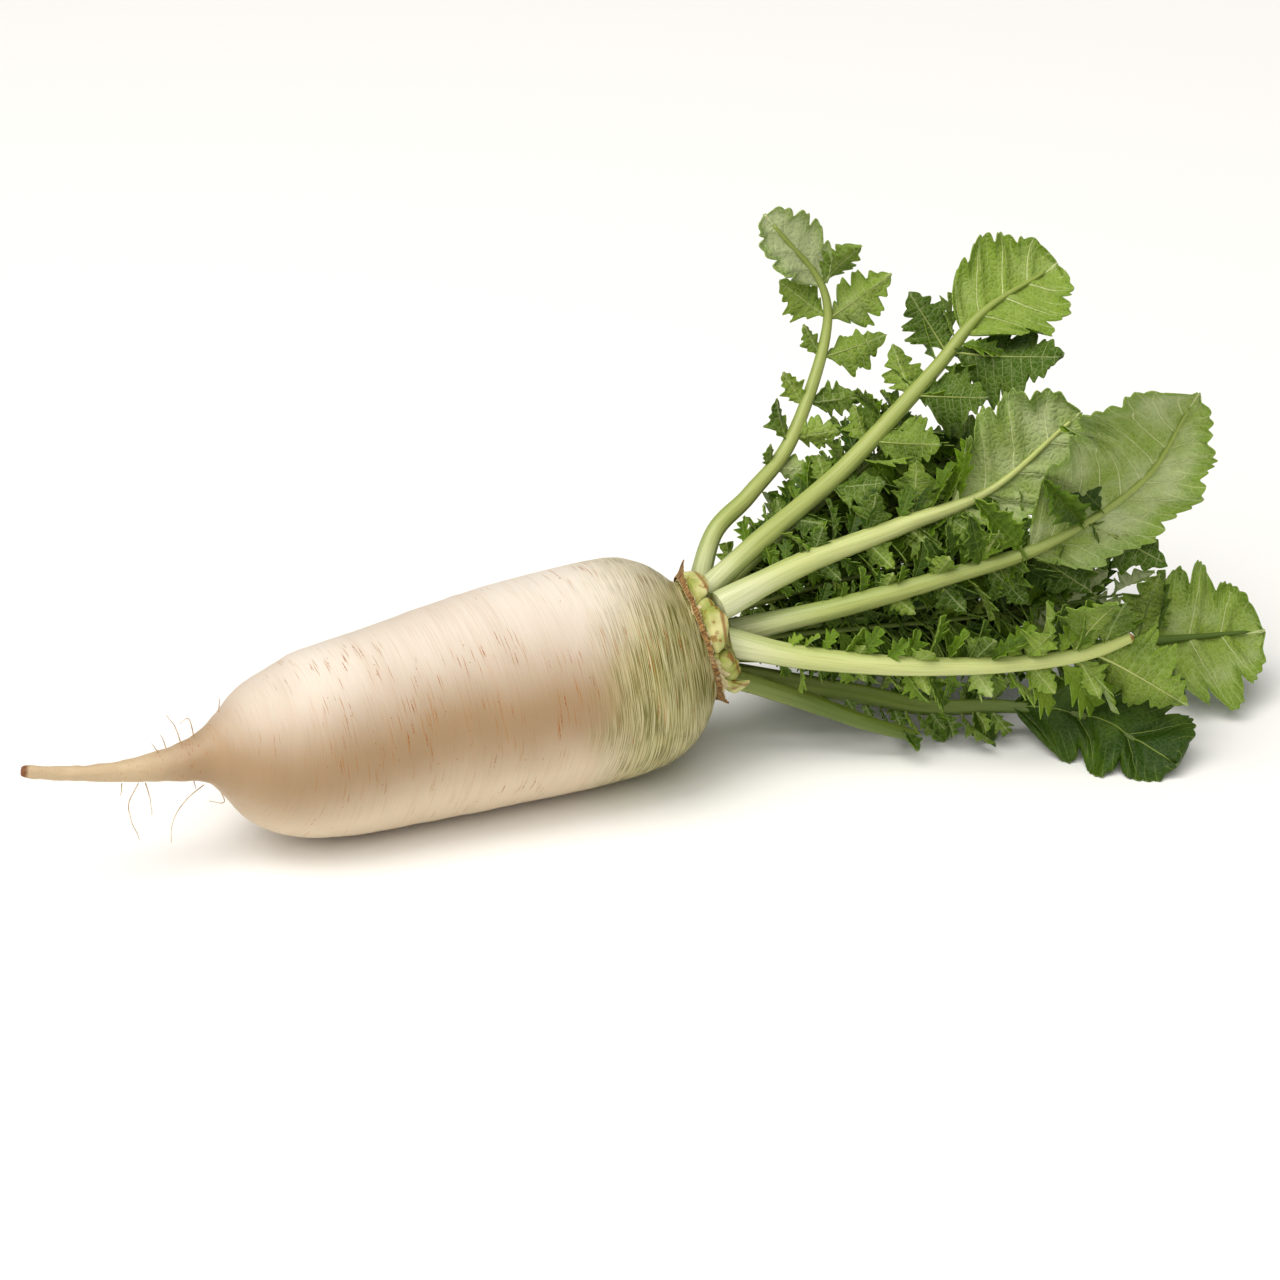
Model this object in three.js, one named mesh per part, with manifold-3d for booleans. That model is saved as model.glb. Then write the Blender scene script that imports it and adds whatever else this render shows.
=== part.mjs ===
// A daikon radish, pulled with its leaves on and laid on a table: one thick root with its crown, twelve leaves,
// three stubs of leaves that were cut away, and the dry scales of the oldest ones.
// Millimetres, +Z up. The origin is the middle of the flat spot that the root lies on, and +X runs from the
// root's tip towards the leaves.
import * as THREE from "three";
import { mergeVertices } from "three/addons/utils/BufferGeometryUtils.js";
import Module from "manifold-3d";

const wasm = await Module();
wasm.setup();

// ---- Driving dimensions ----

const GAP = 0.3; // free space between two neighbouring pieces
const BLADE = 0.7; // thickness of a leaf blade
const TABLE = 0.5; // lowest that a soft leaf comes above the table

// Radius of the root along its length, from the broken end of the tap root to the front of the crown.
const ROOT_PROFILE = [
  [-206, 0],
  [-205, 2.3],
  [-190, 2.8],
  [-170, 4.1],
  [-150, 6.8],
  [-138, 10],
  [-130, 16.5],
  [-118, 27.5],
  [-95, 35.8],
  [-60, 39.6],
  [-25, 42.7],
  [8, 45.1],
  [31, 45],
  [46, 42.3],
  [56, 36],
  [62, 29],
  [66, 24.2],
  [71, 23.2],
  [76, 19.5],
  [80, 11],
  [81, 0],
];
const ROOT_SIDES = 24;
const ROOT_RINGS = 26;

// The root's axis is nearly level. Its neck lies a little high, the tip curls up and to the far side, and the crown
// turns up and to the near side.
const AXIS = { height: 42.4, slope: 0.035 };
const NECK = { from: -95, to: -140, up: 6 };
const TIP = { from: -140, to: -206, up: 9.5, aside: 6 };
const CROWN_TURN = { from: 5, to: 66, up: 8, aside: -6 };
const CROWN_X = 66; // where the root ends and the leaves begin

const STALK_SIDES = 7;
const STALK_RINGS = 9;

// Each leaf's rib, from its foot in the crown to its end, by the fewest points that give its curve. "face" is the
// way that the leaf's upper side looks. "foot" and "end" are the rib's half widths, and "taper" says how late it
// thins. "blade" is the broad leaf along the rib's last part: the share of the rib where it starts, its right and
// left half widths as seen from its upper side, how many lobes its edge has, how deep they are cut, how far its sides
// bend up and how far they sweep towards the tip. "leaflets" are the pairs that stand on the rib: the share of the
// rib, the lengths of the right one and the left one, and sometimes how far they lean away from the rib and how
// broad they are.
const LEAVES = [
  {
    name: "leaf_far_top",
    rib: [[74, 7, 68], [85, 14, 88], [104, 20, 99], [127, 30, 114], [151, 48, 145], [154, 56, 168], [134, 60, 195]],
    face: [0.3, 0.9, -0.3], foot: 4.4, end: 0.8, taper: 1.6,
    blade: { from: 0.83, halves: [13, 16], teeth: 4, cut: 0.25, bend: -0.3, sweep: 0.5 },
    leaflets: [
      [0.42, 11, 18], [0.5, 20, 22], [0.57, 18, 24], [0.65, 14, 28], [0.74, 26, 30, 60, 0.46], [0.84, 0, 24, 55, 0.5],
    ],
  },
  {
    name: "leaf_top",
    rib: [[73, -3, 72], [98, -2, 89], [140, 8, 108], [184, 16, 139], [208, 18, 161], [236, 19, 173]],
    face: [0.5, 0.6, -0.6], foot: 5, end: 0.8, taper: 2,
    blade: { from: 0.72, halves: [27, 28], teeth: 4, cut: 0.3, bend: -0.3, sweep: 0.5 },
    leaflets: [[0.27, 10, 16], [0.36, 13, 25], [0.45, 18, 33], [0.55, 23, 34], [0.66, 30, 48, 60, 0.42]],
  },
  {
    name: "leaf_upper",
    rib: [[72.4, -15.5, 70.5], [112, -13, 80.5], [153, -18, 91], [189, -26, 103], [219, -34, 130]],
    face: [0.5, 0.7, -0.2], foot: 6.2, end: 0.8, taper: 1.4,
    blade: { from: 0.64, halves: [30, 24], teeth: 4, cut: 0.25, bend: -0.2, sweep: 0.5 },
    leaflets: [[0.28, 15, 13], [0.4, 20, 17], [0.52, 25, 21], [0.62, 0, 26]],
  },
  {
    name: "leaf_broad",
    rib: [[79, -7, 53], [126, -26, 65], [165, -38, 75], [203, -50, 87], [238, -61, 112], [252, -68, 142]],
    face: [0.3, 0.9, 0.1], foot: 5.4, end: 0.8, taper: 1.4,
    blade: { from: 0.56, halves: [56, 24], teeth: 5, cut: 0.14, bend: -0.3, sweep: 0.3 },
    leaflets: [[0.27, 12, 13], [0.37, 17, 18], [0.47, 21, 24], [0.56, 0, 33], [0.68, 0, 38]],
  },
  {
    name: "leaf_front",
    rib: [[72, -17, 56.5], [102, -30, 48.5], [138, -48, 45], [174, -64, 45], [204, -77, 49], [222, -84, 56]],
    face: [0.2, 0.9, 0.1], foot: 6.4, end: 2.4, taper: 0.8,
    leaflets: [
      [0.3, 10, 9], [0.42, 15, 13], [0.54, 18, 15], [0.66, 22, 17], [0.78, 34, 20], [0.88, 26, 0],
      [0.84, 0, 46, 38, 0.42],
    ],
  },
  {
    name: "leaf_short",
    rib: [[72, -12, 41], [107, -25, 26], [128, -37, 17], [147, -45, 10]],
    face: [0, 0.3, 1], foot: 5.6, end: 3, taper: 1.2, leaflets: [[0.93, 12, 9]],
  },
  {
    name: "leaf_table",
    rib: [[73, 3, 34], [131, -20, 21], [160, -33, 14], [192, -48, 14], [216, -74, 15], [231, -99, 7]],
    face: [-0.25, -0.6, 0.75], foot: 5, end: 0.8, taper: 1.6,
    blade: { from: 0.6, halves: [24, 36], teeth: 3, cut: 0.42, bend: -0.1, sweep: 0.6 },
    leaflets: [[0.3, 10, 10], [0.4, 16, 12], [0.5, 18, 14]],
  },
  {
    name: "leaf_end",
    rib: [[79, -1, 43], [157, -15, 31], [215, -30, 26], [270, -42, 25.5], [303, -50, 25.5]],
    face: [0.3, 0.6, -0.75], foot: 5, end: 0.8, taper: 1.6,
    blade: { from: 0.7, halves: [33, 38], teeth: 3, cut: 0.34, bend: -0.2, sweep: 0.3 },
    leaflets: [[0.36, 13, 11], [0.46, 18, 14], [0.57, 22, 16], [0.68, 30, 22]],
  },
  {
    name: "leaf_heart_high",
    rib: [[80, 2, 60], [130, 10, 76], [172, 12, 90], [205, 12, 108]],
    face: [0, 0.6, -0.8], foot: 4.4, end: 0.8, taper: 1.6,
    blade: { from: 0.78, halves: [18, 18], teeth: 3, cut: 0.4, bend: 0.3, sweep: 0.7 },
    leaflets: [[0.25, 16, 16], [0.38, 24, 24], [0.51, 32, 32], [0.66, 36, 36]],
  },
  {
    name: "leaf_heart_low",
    rib: [[80, 2, 51], [140, 0, 49], [190, -8, 47], [240, -18, 53]],
    face: [0, 0.8, 0.2], foot: 4, end: 0.8, taper: 1.6,
    blade: { from: 0.72, halves: [26, 26], teeth: 3, cut: 0.4, bend: 0.3, sweep: 0.7 },
    leaflets: [[0.25, 14, 14], [0.38, 22, 22], [0.51, 30, 30], [0.66, 34, 34]],
  },
  {
    name: "leaf_back",
    rib: [[74, 11, 55], [125, 36, 60], [165, 46, 66], [205, 50, 74]],
    face: [0, -1, 0.4], foot: 4.6, end: 0.8, taper: 1.6,
    blade: { from: 0.78, halves: [20, 20], teeth: 3, cut: 0.4, bend: 0.3, sweep: 0.7 },
    leaflets: [[0.26, 18, 18], [0.4, 26, 26], [0.54, 32, 32], [0.7, 36, 36]],
  },
  {
    name: "leaf_back_low",
    rib: [[74, 10, 42], [125, 26, 29], [168, 28, 23], [212, 24, 20]],
    face: [0, -0.3, 1], foot: 4.6, end: 0.8, taper: 1.6,
    blade: { from: 0.78, halves: [20, 20], teeth: 3, cut: 0.4, bend: 0.3, sweep: 0.7 },
    leaflets: [[0.26, 16, 16], [0.4, 24, 24], [0.54, 28, 28], [0.7, 30, 30]],
  },
];

// Feet of leaves that were cut away: the way round the crown (0 is towards -Y, 90 is up), the size and the slant.
const STUBS = [
  { name: "stub_upper", around: 86, width: 20, depth: 6, height: 12, slant: 0.1 },
  { name: "stub_side", around: 31, width: 18, depth: 6, height: 12, slant: -0.15 },
  { name: "stub_lower", around: -27, width: 13, depth: 5, height: 9, slant: 0.3 },
];

// The dry ragged collar of the oldest leaves' feet, round the crown, with the points that stand out of it.
const COLLAR = { radius: 25.6, thick: 1, height: 2.6, ragged: 1, tilt: 1.2 };
const COLLAR_POINTS = [
  { around: 140, height: 11, width: 20 },
  { around: -62, height: 8, width: 22 },
  { around: 220, height: 4, width: 30 },
];

const MATERIALS = {
  root: new THREE.MeshStandardMaterial({ color: "#e8d8bf", roughness: 0.5, metalness: 0 }),
  leaf: new THREE.MeshStandardMaterial({ color: "#5f8a2e", roughness: 0.55, metalness: 0, flatShading: true }),
  stub: new THREE.MeshStandardMaterial({ color: "#bcbf6c", roughness: 0.6, metalness: 0 }),
  collar: new THREE.MeshStandardMaterial({ color: "#a9713f", roughness: 0.85, metalness: 0 }),
};

// ---- Solids ----

// A closed geometry as a manifold-3d solid, with the vertices that share a place merged.
function solidOf(geometry) {
  geometry.deleteAttribute("normal");
  geometry.deleteAttribute("uv");
  const merged = mergeVertices(geometry, 1e-4);
  return new wasm.Manifold(
    new wasm.Mesh({
      numProp: 3,
      vertProperties: merged.attributes.position.array,
      triVerts: new Uint32Array(merged.index.array),
    }),
  );
}

function meshOf(solid, name, material) {
  const { vertProperties, triVerts } = solid.getMesh();
  const geometry = new THREE.BufferGeometry();
  geometry.setAttribute("position", new THREE.BufferAttribute(vertProperties, 3));
  geometry.setIndex(new THREE.BufferAttribute(triVerts, 1));
  geometry.computeVertexNormals();
  const mesh = new THREE.Mesh(geometry, material);
  mesh.name = name;
  return mesh;
}

// What is left of a solid after a cut, without the scraps.
function largestBody(solid) {
  const bodies = solid.decompose();
  return bodies.reduce((best, body) => (body.volume() > best.volume() ? body : best), bodies[0]);
}

// Moves each vertex of a geometry to where place(vertex) says.
function reshape(geometry, place) {
  const position = geometry.attributes.position;
  const vertex = new THREE.Vector3();
  for (let i = 0; i < position.count; i++) {
    const moved = place(vertex.fromBufferAttribute(position, i).clone());
    position.setXYZ(i, moved.x, moved.y, moved.z);
  }
  return geometry;
}

// A thin closed plate. pointAt(across, along) shapes its middle surface, across from -1 to 1 and along from 0 to 1,
// and the plate is that surface moved out to both sides, with the same triangles on each, and closed round its rim.
function plate(columns, rows, thickness, pointAt) {
  const middle = reshape(new THREE.PlaneGeometry(2, 1, columns, rows), (p) => pointAt(p.x, 0.5 - p.y));
  middle.computeVertexNormals();
  const { position, normal } = middle.attributes;
  const count = position.count;
  const places = new Float32Array(count * 6);
  for (let i = 0; i < count; i++) {
    const point = new THREE.Vector3().fromBufferAttribute(position, i);
    const offset = new THREE.Vector3().fromBufferAttribute(normal, i).multiplyScalar(thickness / 2);
    point.clone().add(offset).toArray(places, i * 3);
    point.clone().sub(offset).toArray(places, (count + i) * 3);
  }
  const triangles = [];
  const edges = new Set();
  const index = middle.index.array;
  for (let i = 0; i < index.length; i += 3) {
    const [a, b, c] = index.slice(i, i + 3);
    triangles.push(a, b, c, count + c, count + b, count + a);
    edges.add(a + " " + b).add(b + " " + c).add(c + " " + a);
  }
  for (const edge of edges) {
    const [a, b] = edge.split(" ").map(Number);
    if (edges.has(b + " " + a)) continue;
    triangles.push(b, a, count + a, b, count + a, count + b);
  }
  const closed = new THREE.BufferGeometry();
  closed.setAttribute("position", new THREE.BufferAttribute(places, 3));
  closed.setIndex(triangles);
  return closed;
}

// ---- Root ----

const { smoothstep, clamp, degToRad } = THREE.MathUtils;

// How far into a bend x is, growing with the square of the way.
function bendAt(x, { from, to }) {
  return Math.max(0, (x - from) / (to - from)) ** 2;
}

function rootAxis(x) {
  const neck = 1 - smoothstep(x, NECK.to, NECK.from);
  const tip = bendAt(x, TIP);
  const crown = bendAt(x, CROWN_TURN);
  return new THREE.Vector3(
    x,
    TIP.aside * tip + CROWN_TURN.aside * crown,
    AXIS.height + AXIS.slope * x + NECK.up * neck + TIP.up * tip + CROWN_TURN.up * crown,
  );
}

// The root's cross-section at x: its middle, the way along the root, the way up and the way to the far side.
function rootFrame(x) {
  const along = rootAxis(x + 1).sub(rootAxis(x - 1)).normalize();
  const far = new THREE.Vector3(0, 0, 1).cross(along).normalize();
  return { point: rootAxis(x), along, far, up: new THREE.Vector3().crossVectors(along, far) };
}

// How much further out than a true circle the root's skin lies, as a share of its radius.
function rootSwell(x, angle) {
  return 0.012 * Math.sin(2 * angle + 0.03 * x) + 0.009 * Math.sin(3 * angle - 0.05 * x + 1);
}

function rootSolid() {
  const outline = new THREE.SplineCurve(ROOT_PROFILE.map(([x, radius]) => new THREE.Vector2(radius, x)));
  const points = outline.getPoints(ROOT_RINGS).map((p) => new THREE.Vector2(Math.max(p.x, 0), p.y));
  points[0].x = 0;
  points[ROOT_RINGS].x = 0;
  const lathe = new THREE.LatheGeometry(points, ROOT_SIDES);
  const skin = reshape(lathe, (p) => {
    const swell = 1 + rootSwell(p.y, Math.atan2(p.z, -p.x));
    const { point, far, up } = rootFrame(p.y);
    return point.addScaledVector(far, -p.x * swell).addScaledVector(up, p.z * swell);
  });
  const table = new THREE.BoxGeometry(300, 120, 20).translate(0, 0, -10);
  return solidOf(skin).subtract(solidOf(table));
}

// ---- Leaves ----

// A steady number from -1 to 1 for each place in the order, so that no two leaflets are alike.
function wobble(n) {
  const wave = Math.sin(n * 12.9898) * 43758.5453;
  return 2 * (wave - Math.floor(wave)) - 1;
}

function curveOf(leaf) {
  const points = leaf.rib.map((p) => new THREE.Vector3(...p));
  return new THREE.CatmullRomCurve3(points, false, "catmullrom", 0.5);
}

// The place on a rib at a share t of its way, with the way along, the upper side's way and the way across.
function ribFrame(leaf, t) {
  const end = Math.min(t, 1);
  const along = leaf.curve.getTangent(end);
  const point = leaf.curve.getPoint(end).addScaledVector(along, (t - end) * leaf.length);
  const up = new THREE.Vector3(...leaf.face);
  up.addScaledVector(along, -up.dot(along)).normalize();
  return { point, along, up, side: new THREE.Vector3().crossVectors(along, up) };
}

// Half the rib's width: it thins towards its end, and flares a little at its foot.
function ribWidth(leaf, t) {
  const flare = 1 - 0.14 * smoothstep(t, 0, 0.15);
  return leaf.end + (leaf.foot - leaf.end) * (1 - t ** leaf.taper) * flare;
}

// A stalk is rounder below and flatter above, and grow makes it thicker all round, for the socket that it sits in.
function stalkSolid(leaf, grow = 0) {
  const rod = new THREE.CylinderGeometry(1, 1, 1, STALK_SIDES, STALK_RINGS);
  return solidOf(
    reshape(rod, (p) => {
      const t = p.y + 0.5;
      const { point, along, up, side } = ribFrame(leaf, t);
      const width = ribWidth(leaf, t) + grow;
      const height = p.z > 0.1 ? 0.7 * width + 0.3 * grow : width;
      const overshoot = t === 0 ? -grow : 0;
      return point
        .addScaledVector(along, overshoot)
        .addScaledVector(side, p.x * width)
        .addScaledVector(up, p.z * height);
    }),
  );
}

// A toothed edge: 0 in a notch and 1 on a tooth's point.
function toothAt(v, teeth) {
  return 1 - Math.abs(2 * ((v * teeth) % 1) - 1);
}

function aboveTable(point, thickness) {
  point.z = Math.max(point.z, TABLE + thickness / 2);
  return point;
}

// The broad blade along the end of a rib: its teeth, the way its two sides bend and its waved edge.
function bladeSolid(leaf, thickness = BLADE) {
  const { from, halves, teeth, cut, bend, sweep } = leaf.blade;
  return solidOf(
    plate(4, 2 * teeth, thickness, (u, v) => {
      const width = halves[u > 0 ? 0 : 1];
      const outline = Math.sin(Math.PI * (0.04 + 0.94 * v ** 0.85)) ** 0.6;
      const half = Math.max(0.8, width * outline * (1 - cut * (1 - toothAt(v, teeth))));
      const forward = (sweep * (1 - 0.5 * v) * Math.abs(u) * half) / leaf.length;
      const { point, up, side } = ribFrame(leaf, from + (1.04 - from) * v + forward);
      const turn = bend * Math.abs(u);
      const wave = 0.09 * half * Math.abs(u) * Math.sin(9 * v + 2 * u);
      point
        .addScaledVector(side, u * half * Math.cos(turn))
        .addScaledVector(up, half * Math.abs(u) * Math.sin(turn) + wave);
      return aboveTable(point, thickness);
    }),
  );
}

// One leaflet, standing on the rib at t, on the side -1 or 1, with its blade turned about its own stalk.
function leafletSolid(leaf, { t, side: hand, size, lean: degrees, broad, order }, turn, thickness = BLADE) {
  const frame = ribFrame(leaf, t);
  const lean = degToRad(degrees + 8 * wobble(order));
  const along = frame.along
    .clone()
    .multiplyScalar(Math.cos(lean))
    .addScaledVector(frame.side, hand * Math.sin(lean))
    .addScaledVector(frame.up, 0.2 * wobble(order + 0.3))
    .normalize();
  const up = frame.up.clone().addScaledVector(along, -frame.up.dot(along)).normalize();
  up.applyAxisAngle(along, degToRad(turn + 20 * wobble(order + 0.6)));
  const side = new THREE.Vector3().crossVectors(along, up);
  const teeth = size > 16 ? 3 : 2;
  return solidOf(
    plate(2, 2 * teeth, thickness, (u, v) => {
      const tooth = toothAt(v, teeth);
      const outline = Math.max(0, Math.sin(Math.PI * v)) ** 0.7 * smoothstep(v, 0, 0.25);
      const half = Math.max(0.7, size * broad * outline * (0.5 + 0.5 * tooth));
      const out = size * (0.8 * v + 0.15 * v ** 3) + 0.7 * half * Math.abs(u);
      const sag = 0.3 * size * v * v;
      const point = frame.point
        .clone()
        .addScaledVector(along, out)
        .addScaledVector(side, u * half)
        .addScaledVector(up, 0.35 * half * Math.abs(u) - sag);
      return aboveTable(point, thickness);
    }),
  );
}

// Where a leaf's leaflets stand, one by one.
function leafletPlaces(leaf, number) {
  const places = [];
  leaf.leaflets.forEach(([share, right, left, lean = 60, broad = 0.4], pair) => {
    for (const [side, size] of [[1, right], [-1, left]]) {
      const order = 100 * number + 2 * pair + (side + 1) / 2;
      if (size > 0) places.push({ t: share + 0.01 * wobble(order + 0.1), side, size, lean, broad, order });
    }
  });
  return places;
}

function touches(solid, others) {
  return others.some((other) => solid.intersect(other).volume() > 0);
}

const TURNS = [0, 30, -30, 60, -60, 90];

// Adds a leaf's leaflets. One that would touch a neighbour is turned on its stalk until it is clear, or left out.
function withLeaflets(leaf, number, others) {
  let solid = leaf.solid;
  for (const place of leafletPlaces(leaf, number)) {
    const turn = TURNS.find((angle) => !touches(leafletSolid(leaf, place, angle, BLADE + 2 * GAP), others));
    if (turn === undefined) console.log("left out", leaf.name, place.order);
    else solid = solid.add(leafletSolid(leaf, place, turn));
  }
  return solid;
}

// ---- Stubs and scales ----

const CROWN = rootFrame(CROWN_X);

// A place on the crown: how far along it, how far out from its axis, and at what angle round it.
function crownPlace(forward, radius, degrees) {
  const angle = degToRad(degrees);
  return CROWN.point
    .clone()
    .addScaledVector(CROWN.along, forward)
    .addScaledVector(CROWN.far, -radius * Math.cos(angle))
    .addScaledVector(CROWN.up, radius * Math.sin(angle));
}

const STUB_OUT = 22;

// A stub is a short flattened peg with a slanting end.
function stubSolid({ around, width, depth, height, slant }, grow = 0) {
  const rod = new THREE.CylinderGeometry(1, 1, 1, 12, 3);
  return solidOf(
    reshape(rod, (p) => {
      const v = p.y + 0.5;
      const girth = 1 - 0.45 * v ** 2;
      const forward = v === 0 ? -grow : v * height * (1 + slant * p.x) + (v === 1 ? grow : 0);
      const round = THREE.MathUtils.radToDeg((p.x * (width / 2 + grow) * girth) / STUB_OUT);
      return crownPlace(forward - 1, STUB_OUT + 2.5 * v + p.z * (depth / 2 + grow) * girth, around - round);
    }),
  );
}

// How far forward the collar's edge stands at an angle round the crown.
function collarEdge(around) {
  let height = COLLAR.height + COLLAR.ragged * wobble(Math.round(around / 10));
  for (const point of COLLAR_POINTS) {
    const off = Math.abs(((around - point.around + 540) % 360) - 180) / point.width;
    height += point.height * Math.max(0, 1 - off);
  }
  return height;
}

// A thin ring, made by turning a narrow section about the crown's axis, then drawn out to its ragged edge.
function collarSolid(grow = 0) {
  const inside = -COLLAR.thick / 2 - grow;
  const outside = COLLAR.thick / 2 + grow;
  const section = [[inside, 0], [inside, 1], [outside, 1], [outside, 0], [inside, 0]];
  const ring = new THREE.LatheGeometry(section.map(([x, y]) => new THREE.Vector2(50 + x, y)), 32);
  return solidOf(
    reshape(ring, (p) => {
      const around = THREE.MathUtils.radToDeg(Math.atan2(p.z, -p.x));
      const reach = p.y * (collarEdge(around) + grow);
      const base = p.y === 0 ? -grow : 0;
      const radius = COLLAR.radius + Math.hypot(p.x, p.z) - 50 + 0.4 * reach + 0.03 * reach * reach;
      const forward = 0.6 + COLLAR.tilt * (1 + Math.sin(degToRad(around))) + 0.7 * reach + base;
      return crownPlace(forward, radius, around);
    }),
  );
}

// ---- Assembly ----

for (const leaf of LEAVES) {
  leaf.curve = curveOf(leaf);
  leaf.length = leaf.curve.getLength();
  leaf.solid = stalkSolid(leaf);
  if (leaf.blade) leaf.solid = leaf.solid.add(bladeSolid(leaf));
}
const sockets = LEAVES.map((leaf) => stalkSolid(leaf, GAP));
let root = rootSolid();
for (const socket of sockets) root = root.subtract(socket);

const smallParts = [];
function addSmall(name, make, material) {
  let solid = make(0);
  for (const socket of sockets) solid = solid.subtract(socket);
  for (const other of smallParts) solid = solid.subtract(other.grown);
  smallParts.push({ name, solid: largestBody(solid), grown: make(GAP), material });
}
for (const stub of STUBS) addSmall(stub.name, (grow) => stubSolid(stub, grow), MATERIALS.stub);
addSmall("collar", collarSolid, MATERIALS.collar);
for (const small of smallParts) if (small.name !== "collar") root = root.subtract(small.grown);

LEAVES.forEach((leaf, number) => {
  const others = LEAVES.filter((other) => other !== leaf).map((other) => other.solid);
  leaf.solid = withLeaflets(leaf, number, [...others, root]);
});

const daikon = new THREE.Group();
daikon.name = "daikon";
daikon.add(meshOf(largestBody(root), "root", MATERIALS.root));
for (const leaf of LEAVES) daikon.add(meshOf(leaf.solid, leaf.name, MATERIALS.leaf));
for (const small of smallParts) daikon.add(meshOf(small.solid, small.name, small.material));

export default daikon;
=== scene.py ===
# %% [markdown]
# # A daikon radish with its leaves
# The radish is one thick white root, broad near its green crown and thin at its tip, with twelve leaves that
# fan out from the crown. It lies on a table on the belly of its root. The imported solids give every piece's place.
# This script loads them as a fixed frame, lays a finer skin or leaf over each one, and gives each its colour.

# %% Load the frame
import math
import bmesh
import bpy
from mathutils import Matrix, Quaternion, Vector, noise


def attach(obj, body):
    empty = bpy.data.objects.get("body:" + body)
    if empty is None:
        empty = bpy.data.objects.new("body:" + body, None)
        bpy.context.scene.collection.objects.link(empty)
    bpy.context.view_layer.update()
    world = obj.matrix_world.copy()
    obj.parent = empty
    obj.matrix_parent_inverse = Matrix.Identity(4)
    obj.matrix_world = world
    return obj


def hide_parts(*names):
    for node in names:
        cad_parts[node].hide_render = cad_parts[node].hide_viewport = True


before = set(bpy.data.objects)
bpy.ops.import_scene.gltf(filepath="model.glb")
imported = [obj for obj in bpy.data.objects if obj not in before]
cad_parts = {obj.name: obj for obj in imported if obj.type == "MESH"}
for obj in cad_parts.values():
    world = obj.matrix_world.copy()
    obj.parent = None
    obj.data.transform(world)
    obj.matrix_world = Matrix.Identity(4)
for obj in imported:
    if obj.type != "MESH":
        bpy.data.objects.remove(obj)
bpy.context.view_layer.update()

# %% [markdown]
# ## Camera
# A vegetable is mostly pictured from a little above, with a long lens, so that the near and the far leaves keep
# their true sizes. The camera stands 1.3 m away, 27 degrees up and turned 25 degrees towards the tip. A track
# constraint could aim it, but a rotation worked out once from the view direction leaves nothing live in the scene.

# %% Camera
MM = 0.001
CAMERA_TARGET = Vector((45.3, 0, 54.2)) * MM
CAMERA_TURN = math.radians(-25)
CAMERA_RISE = math.radians(27)
CAMERA_DISTANCE = 1.3
SENSOR_WIDTH = 36
LENS_LENGTH = 91.4
back = Vector((
    math.sin(CAMERA_TURN) * math.cos(CAMERA_RISE),
    -math.cos(CAMERA_TURN) * math.cos(CAMERA_RISE),
    math.sin(CAMERA_RISE),
))
camera_data = bpy.data.cameras.new("view")
camera_data.sensor_width = SENSOR_WIDTH
camera_data.lens = LENS_LENGTH
camera = bpy.data.objects.new("view", camera_data)
camera.location = CAMERA_TARGET + back * CAMERA_DISTANCE
camera.rotation_euler = back.to_track_quat("Z", "Y").to_euler()
bpy.context.scene.collection.objects.link(camera)
bpy.context.scene.camera = camera
print("camera at", [round(c, 3) for c in camera.location])

# %% [markdown]
# ## Colours and nodes
# Colours are given as the hex values that a colour picker shows. Shaders work with linear light, so one function
# turns them. A finish is a tree of nodes. It could be drawn in the node editor, but written down one node at a
# time, each of its numbers can be read and changed.

# %% Colours and nodes
def linear(hex_colour):
    """An sRGB hex colour as the linear RGBA that the shaders take."""
    parts = [int(hex_colour[i:i + 2], 16) / 255 for i in (1, 3, 5)]
    return [c / 12.92 if c <= 0.04045 else ((c + 0.055) / 1.055) ** 2.4 for c in parts] + [1.0]


def add_node(tree, kind, links=None, **settings):
    """Adds one node. Each link is a number, a colour or another node's socket, by the input's name or number."""
    node = tree.nodes.new(kind)
    for key, value in settings.items():
        setattr(node, key, value)
    for key, value in (links or {}).items():
        if isinstance(value, bpy.types.NodeSocket):
            tree.links.new(value, node.inputs[key])
        else:
            node.inputs[key].default_value = value
    return node


# A Map Range node takes a value as input 0, the range it lies in as 1 and 2, and the range it is taken to as 3 and 4.
# SOFT_STEP makes its ramp soft at both ends. A colour Mix node takes its share as input 0, the colour under it as 6
# and the colour over it as 7, and gives the mix as output 2.
SOFT_STEP = {"interpolation_type": "SMOOTHSTEP"}
COLOUR_MIX = {"data_type": "RGBA"}


def new_material(name, **sockets):
    """A material with one Principled shader, and the values that are the same all over it."""
    material = bpy.data.materials.new(name)
    material.use_nodes = True
    shader = material.node_tree.nodes["Principled BSDF"]
    for key, value in sockets.items():
        shader.inputs[key.replace("_", " ")].default_value = value
    return material, material.node_tree, shader


print("half grey in linear light:", round(linear("#808080")[0], 3))

# %% [markdown]
# ## Floor and light
# The table is a plain sheet with matt, nearly white paint. A sky light as wide as a window wall lights it evenly,
# so its shadows are soft. A lamp high above the root draws the long pale highlight along its top. A low one far in
# front lifts the belly, and is so far away that its light ends outside every picture. A narrow sun alone would be
# simpler, but it would draw a hard shadow under every leaf.

# %% The floor
FLOOR_SIZE = 40.0
floor_mesh = bpy.data.meshes.new("table_sheet")
shape = bmesh.new()
bmesh.ops.create_grid(shape, x_segments=1, y_segments=1, size=FLOOR_SIZE / 2)
shape.to_mesh(floor_mesh)
shape.free()
floor = bpy.data.objects.new("table_sheet", floor_mesh)
bpy.context.scene.collection.objects.link(floor)
floor_paint, tree, shader = new_material("pale_table_paint", Roughness=0.9, IOR=1.45)
shader.inputs["Base Color"].default_value = linear("#fbfbfa")
floor_mesh.materials.append(floor_paint)
print("floor:", FLOOR_SIZE, "m wide")

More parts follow.
